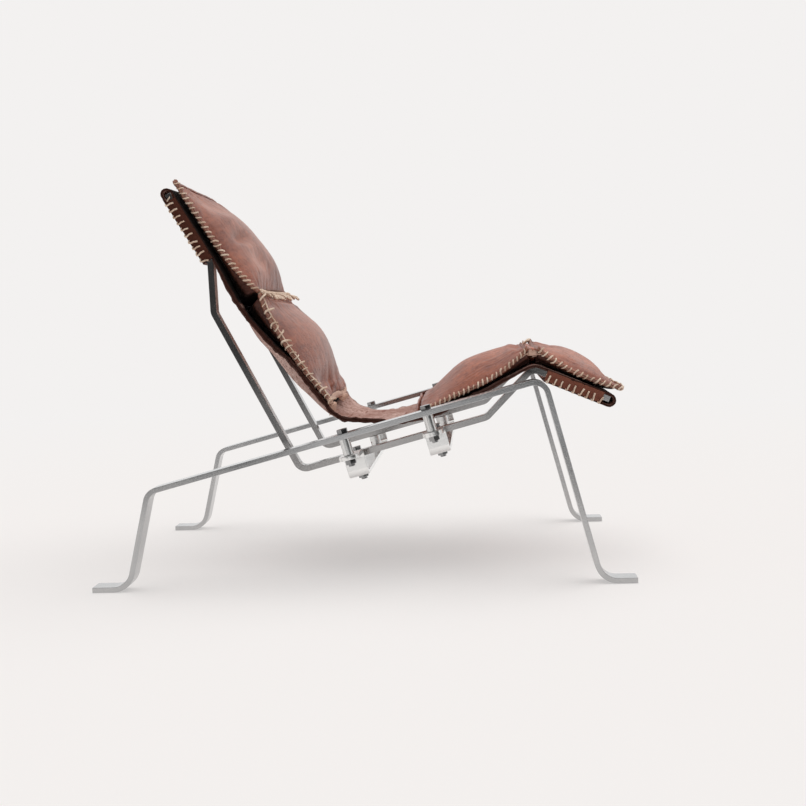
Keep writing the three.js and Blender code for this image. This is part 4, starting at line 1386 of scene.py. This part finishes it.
def whip_tree():
    """A stitch at every step of the guide line, each turned and sized a little differently."""
    tree, given = new_tree("whip_stitches", {
        "Spacing": "Float", "Thickness": "Float", "Reach": "Float", "Depth": "Float", "Climb": "Float",
        "Slant": "Float", "Hook": "Float", "Unevenness": "Float", "Seed": "Int", "Finish": "Material",
    })
    turn = Wire.node(tree, "FunctionNodeAlignRotationToVector", {"axis": "Z"}, {"Vector": facing_of(tree)})
    turn = Wire.node(tree, "FunctionNodeAlignRotationToVector", {"axis": "X", "pivot_axis": "Z"},
                     {"Rotation": turn, "Vector": Wire.node(tree, "GeometryNodeInputTangent")})
    most = given["Unevenness"]
    least_tilt = tuple(-angle for angle in MOST_TILT)
    tilt = Wire.node(tree, "FunctionNodeRandomValue", {"data_type": "FLOAT_VECTOR"},
                     {0: least_tilt, 1: MOST_TILT, "Seed": given["Seed"]})
    tilt = Wire.node(tree, "FunctionNodeEulerToRotation", {},
                     {"Euler": vector_maths(tree, "SCALE", tilt, most)})
    turn = Wire.node(tree, "FunctionNodeRotateRotation", {"rotation_space": "LOCAL"},
                     {"Rotation": turn, "Rotate By": tilt})
    size = Wire.node(tree, "FunctionNodeRandomValue", {"data_type": "FLOAT"},
                     {2: 1 - most * 0.5, 3: 1 + most * 0.6, "Seed": given["Seed"] + 1}, out=1)
    stitches = Wire.node(tree, "GeometryNodeInstanceOnPoints", {}, {
        "Points": even_steps(tree, given["Guide"], given["Spacing"]),
        "Instance": stitch_shape(tree, given), "Rotation": turn, "Scale": size})
    return end_tree(tree, stitches, given["Finish"])


def cord_tree():
    """A plain thread along the guide line, a little unsteady and thin at its ends."""
    tree, given = new_tree("running_thread", {"Thickness": "Float", "Sway": "Float", "Finish": "Material"})
    drift = Wire.node(tree, "ShaderNodeTexNoise", {}, {"Scale": 60.0, "Detail": 1.0}, out="Color")
    drift = vector_maths(tree, "SUBTRACT", drift, (0.5, 0.5, 0.5))
    drift = vector_maths(tree, "SCALE", drift, given["Sway"])
    curve = Wire.node(tree, "GeometryNodeSetPosition", {},
                      {"Geometry": even_steps(tree, given["Guide"], 0.004), "Offset": drift})
    t = Wire.node(tree, "GeometryNodeSplineParameter", out="Factor")
    taper = 1.03 - t.maths("ABSOLUTE", t * 2 - 1, 0.0) ** 24
    return end_tree(tree, cord(tree, curve, given["Thickness"], 6, Scale=taper), given["Finish"])


def rope_tree():
    """Three strands laid round the guide line."""
    tree, given = new_tree("laid_rope", {"Strand": "Float", "Turns": "Float", "Finish": "Material"})
    curve = even_steps(tree, given["Guide"], 0.002)
    up = facing_of(tree)
    sideways = vector_maths(tree, "CROSS_PRODUCT", Wire.node(tree, "GeometryNodeInputTangent"), up)
    travelled = Wire.node(tree, "GeometryNodeSplineParameter", out="Length")
    rope = tree.nodes.new("GeometryNodeJoinGeometry")
    for strand in range(3):
        turn = travelled * (given["Turns"] * (2 * math.pi)) + strand * 2 * math.pi / 3
        offset = (0.0, 0.0, 0.0)
        for operation, direction in (("COSINE", up), ("SINE", sideways)):
            swing = turn.maths(operation, turn, 0.0) * (given["Strand"] * 0.55)
            offset = vector_maths(tree, "ADD", offset, vector_maths(tree, "SCALE", direction, swing))
        wound = Wire.node(tree, "GeometryNodeSetPosition", {}, {"Geometry": curve, "Offset": offset})
        tree.links.new(cord(tree, wound, given["Strand"], 6).socket, rope.inputs[0])
    return end_tree(tree, Wire(rope.outputs[0]), given["Finish"])


whip_stitches = whip_tree()
running_thread = cord_tree()
laid_rope = rope_tree()
print("trees:", whip_stitches.name, running_thread.name, laid_rope.name)

# %% [markdown]
# The guide lines come from the functions and sizes that shaped the flanges and the hoods, so each stitch
# sits on its edge. Every point of a guide also keeps the direction that the edge's face looks, because a
# stitch has to know which way is up.

# %% Guide lines along the edges
GUIDE_POINTS = 60
HOOD_POINTS = 40
SEAM_LIFT = 0.003
THREAD_SETBACK = 0.004
THREAD_LIFT = 0.0055
ROPE_PROUD = 0.004
KNEE_SUNK = 0.002
FILLER_SUNK = 0.015
OUTWARD = {"left": (0, 1), "right": (0, -1), "end": (1, 0), "start": (-1, 0)}


def pad_guide(pad, edge, out=FLANGE, lift=0.0):
    """Points along the flange, out from the seam, with the direction that its face looks."""
    guide = []
    for at in edge_line(pad, edge, GUIDE_POINTS)[2:-2]:
        above, below = (flange_place(pad, at, OUTWARD[edge], out, lift + step)
                        for step in (0.001, -0.001))
        guide.append(((above + below) / 2, (above - below).normalized()))
    return guide


def seam_guide(upper, lower, proud):
    """Points between two pads that are laced end to end, standing proud of the seam."""
    front = (upper.front + lower.front) / np.linalg.norm(upper.front + lower.front)
    facing = Vector((front[0], 0, front[1]))
    first = pad_guide(upper, "end", out=0.0)[::-1]
    second = pad_guide(lower, "start", out=0.0)
    return [((a + b) / 2 + facing * proud, facing) for (a, _), (b, _) in zip(first, second)]


def catch_guide(pad):
    """Points on the seam at a pad's laced start, for the long stitches that catch the rope."""
    facing = Vector((pad.front[0], 0, pad.front[1]))
    line = edge_line(pad, "start", GUIDE_POINTS)[3:-3]
    return [(pad.point(along, across, SEAM_LIFT), facing) for along, across in line]


def hood_guide(end, inward, front, length, side):
    """Points along the rear corner of a hood's cheek, whose face looks sideways."""
    distances = np.linspace(CHEEK_SETBACK + 0.004, length - 0.006, HOOD_POINTS)
    flats = [end + inward * distance - front * slack for distance in distances]
    points = [(Vector((x, side * HIDE_HALF_WIDTH, z)), Vector((0, side, 0))) for x, z in flats]
    rear = Vector((-front[0], 0, -front[1]))
    forwards = rear.cross(Vector((0, side, 0))).dot(points[-1][0] - points[0][0]) > 0
    return points if forwards else points[::-1]


def lace(name, guides, tree, values):
    """Run a tree along guide lines and keep the result as a plain mesh."""
    points, edges, facings = [], [], []
    for guide in guides:
        edges += [(len(points) + k, len(points) + k + 1) for k in range(len(guide) - 1)]
        points += [point for point, _ in guide]
        facings += [value for _, facing in guide for value in facing]
    line = bpy.data.meshes.new(name + "_guide")
    line.from_pydata([tuple(point) for point in points], edges, [])
    line.attributes.new("facing", "FLOAT_VECTOR", "POINT").data.foreach_set("vector", facings)
    guide_piece = place_object(name + "_guide", line)
    modifier = guide_piece.modifiers.new("lacing", "NODES")
    modifier.node_group = tree
    for socket in tree.interface.items_tree:
        if socket.name in values:
            modifier[socket.identifier] = values[socket.name]
    evaluated = guide_piece.evaluated_get(bpy.context.evaluated_depsgraph_get())
    mesh = bpy.data.meshes.new_from_object(evaluated)
    bpy.data.objects.remove(guide_piece)
    piece = place_object(name, mesh)
    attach(piece, "root")
    return piece


whip_guides = [pad_guide(upper_back, edge) for edge in ("left", "right")]
whip_guides += [pad_guide(leg, edge) for edge in ("left", "right", "end")]
bead_guides = [pad_guide(seat, edge) for edge in ("left", "right")] + [pad_guide(lower_back, "left")]
blanket_guides = [pad_guide(lower_back, "right")]
thread_guides = [pad_guide(lower_back, "right", out=FLANGE - THREAD_SETBACK, lift=THREAD_LIFT)]
seam_guides = [seam_guide(upper_back, lower_back, ROPE_PROUD)]
knee_guides = [seam_guide(seat, leg, -KNEE_SUNK)[:-7]]
filler_guides = [seam_guide(seat, leg, -FILLER_SUNK)[5:-5]]
bunch_guides = [seam_guide(seat, leg, -KNEE_SUNK)[-5:]]
catch_guides = [catch_guide(lower_back)]
top_hood_guides = [hood_guide(*HOODS[0], side) for side in (-1, 1)]
front_hood_guides = [hood_guide(*HOODS[1], side) for side in (-1, 1)]
print("guides:", len(whip_guides + bead_guides + blanket_guides + top_hood_guides + front_hood_guides))

# %% Lace the pads and the hoods
THREAD = 0.0034
WHIP = {"Spacing": STITCH_SPACING, "Thickness": 0.0032, "Reach": 0.0042, "Depth": 0.0062, "Climb": 0.001,
        "Slant": 0.0070, "Hook": 0.0, "Unevenness": 0.35, "Seed": 3, "Finish": cream_thread}
BEADS = {**WHIP, "Spacing": 0.0098, "Thickness": 0.0030, "Reach": 0.0034, "Depth": 0.0046, "Slant": 0.0050,
         "Seed": 5}
BLANKET = {**WHIP, "Spacing": 0.0130, "Thickness": THREAD, "Reach": 0.0095, "Climb": 0.005,
           "Slant": -0.004, "Hook": -0.002, "Unevenness": 0.6, "Seed": 11}
CATCH = {**WHIP, "Spacing": 0.0165, "Thickness": 0.0042, "Reach": 0.0140, "Depth": 0.004, "Climb": 0.011,
         "Seed": 17}
BUNCH = {**WHIP, "Spacing": 0.0045, "Thickness": 0.0044, "Reach": 0.008, "Depth": 0.012, "Seed": 23}
FRONT_HOOD_LACE = {**WHIP, "Spacing": 0.0122, "Thickness": THREAD, "Reach": 0.0110, "Depth": 0.004,
                   "Climb": 0.0, "Slant": 0.010, "Hook": 0.003, "Unevenness": 0.2, "Seed": 31}
TOP_HOOD_LACE = {**FRONT_HOOD_LACE, "Spacing": 0.0135, "Reach": 0.0120, "Slant": 0.0200, "Hook": 0.006}
laced = [
    lace("pad_lacing", whip_guides, whip_stitches, WHIP),
    lace("bead_lacing", bead_guides, whip_stitches, BEADS),
    lace("blanket_lacing", blanket_guides, whip_stitches, BLANKET),
    lace("blanket_thread", thread_guides, running_thread,
         {"Thickness": THREAD, "Sway": 0.006, "Finish": cream_thread}),
    lace("seam_rope", seam_guides, laid_rope, {"Strand": 0.0066, "Turns": 50.0, "Finish": cream_thread}),
    lace("knee_roll", knee_guides, running_thread,
         {"Thickness": 0.0125, "Sway": 0.003, "Finish": pad_leather}),
    lace("knee_filler", filler_guides, running_thread,
         {"Thickness": 0.020, "Sway": 0.003, "Finish": pad_leather}),
    lace("knee_bunch", bunch_guides, whip_stitches, BUNCH),
    lace("seam_catches", catch_guides, whip_stitches, CATCH),
    lace("top_hood_lacing", top_hood_guides, whip_stitches, TOP_HOOD_LACE),
    lace("front_hood_lacing", front_hood_guides, whip_stitches, FRONT_HOOD_LACE),
]
print("lacing:", {piece.name: len(piece.data.polygons) for piece in laced})
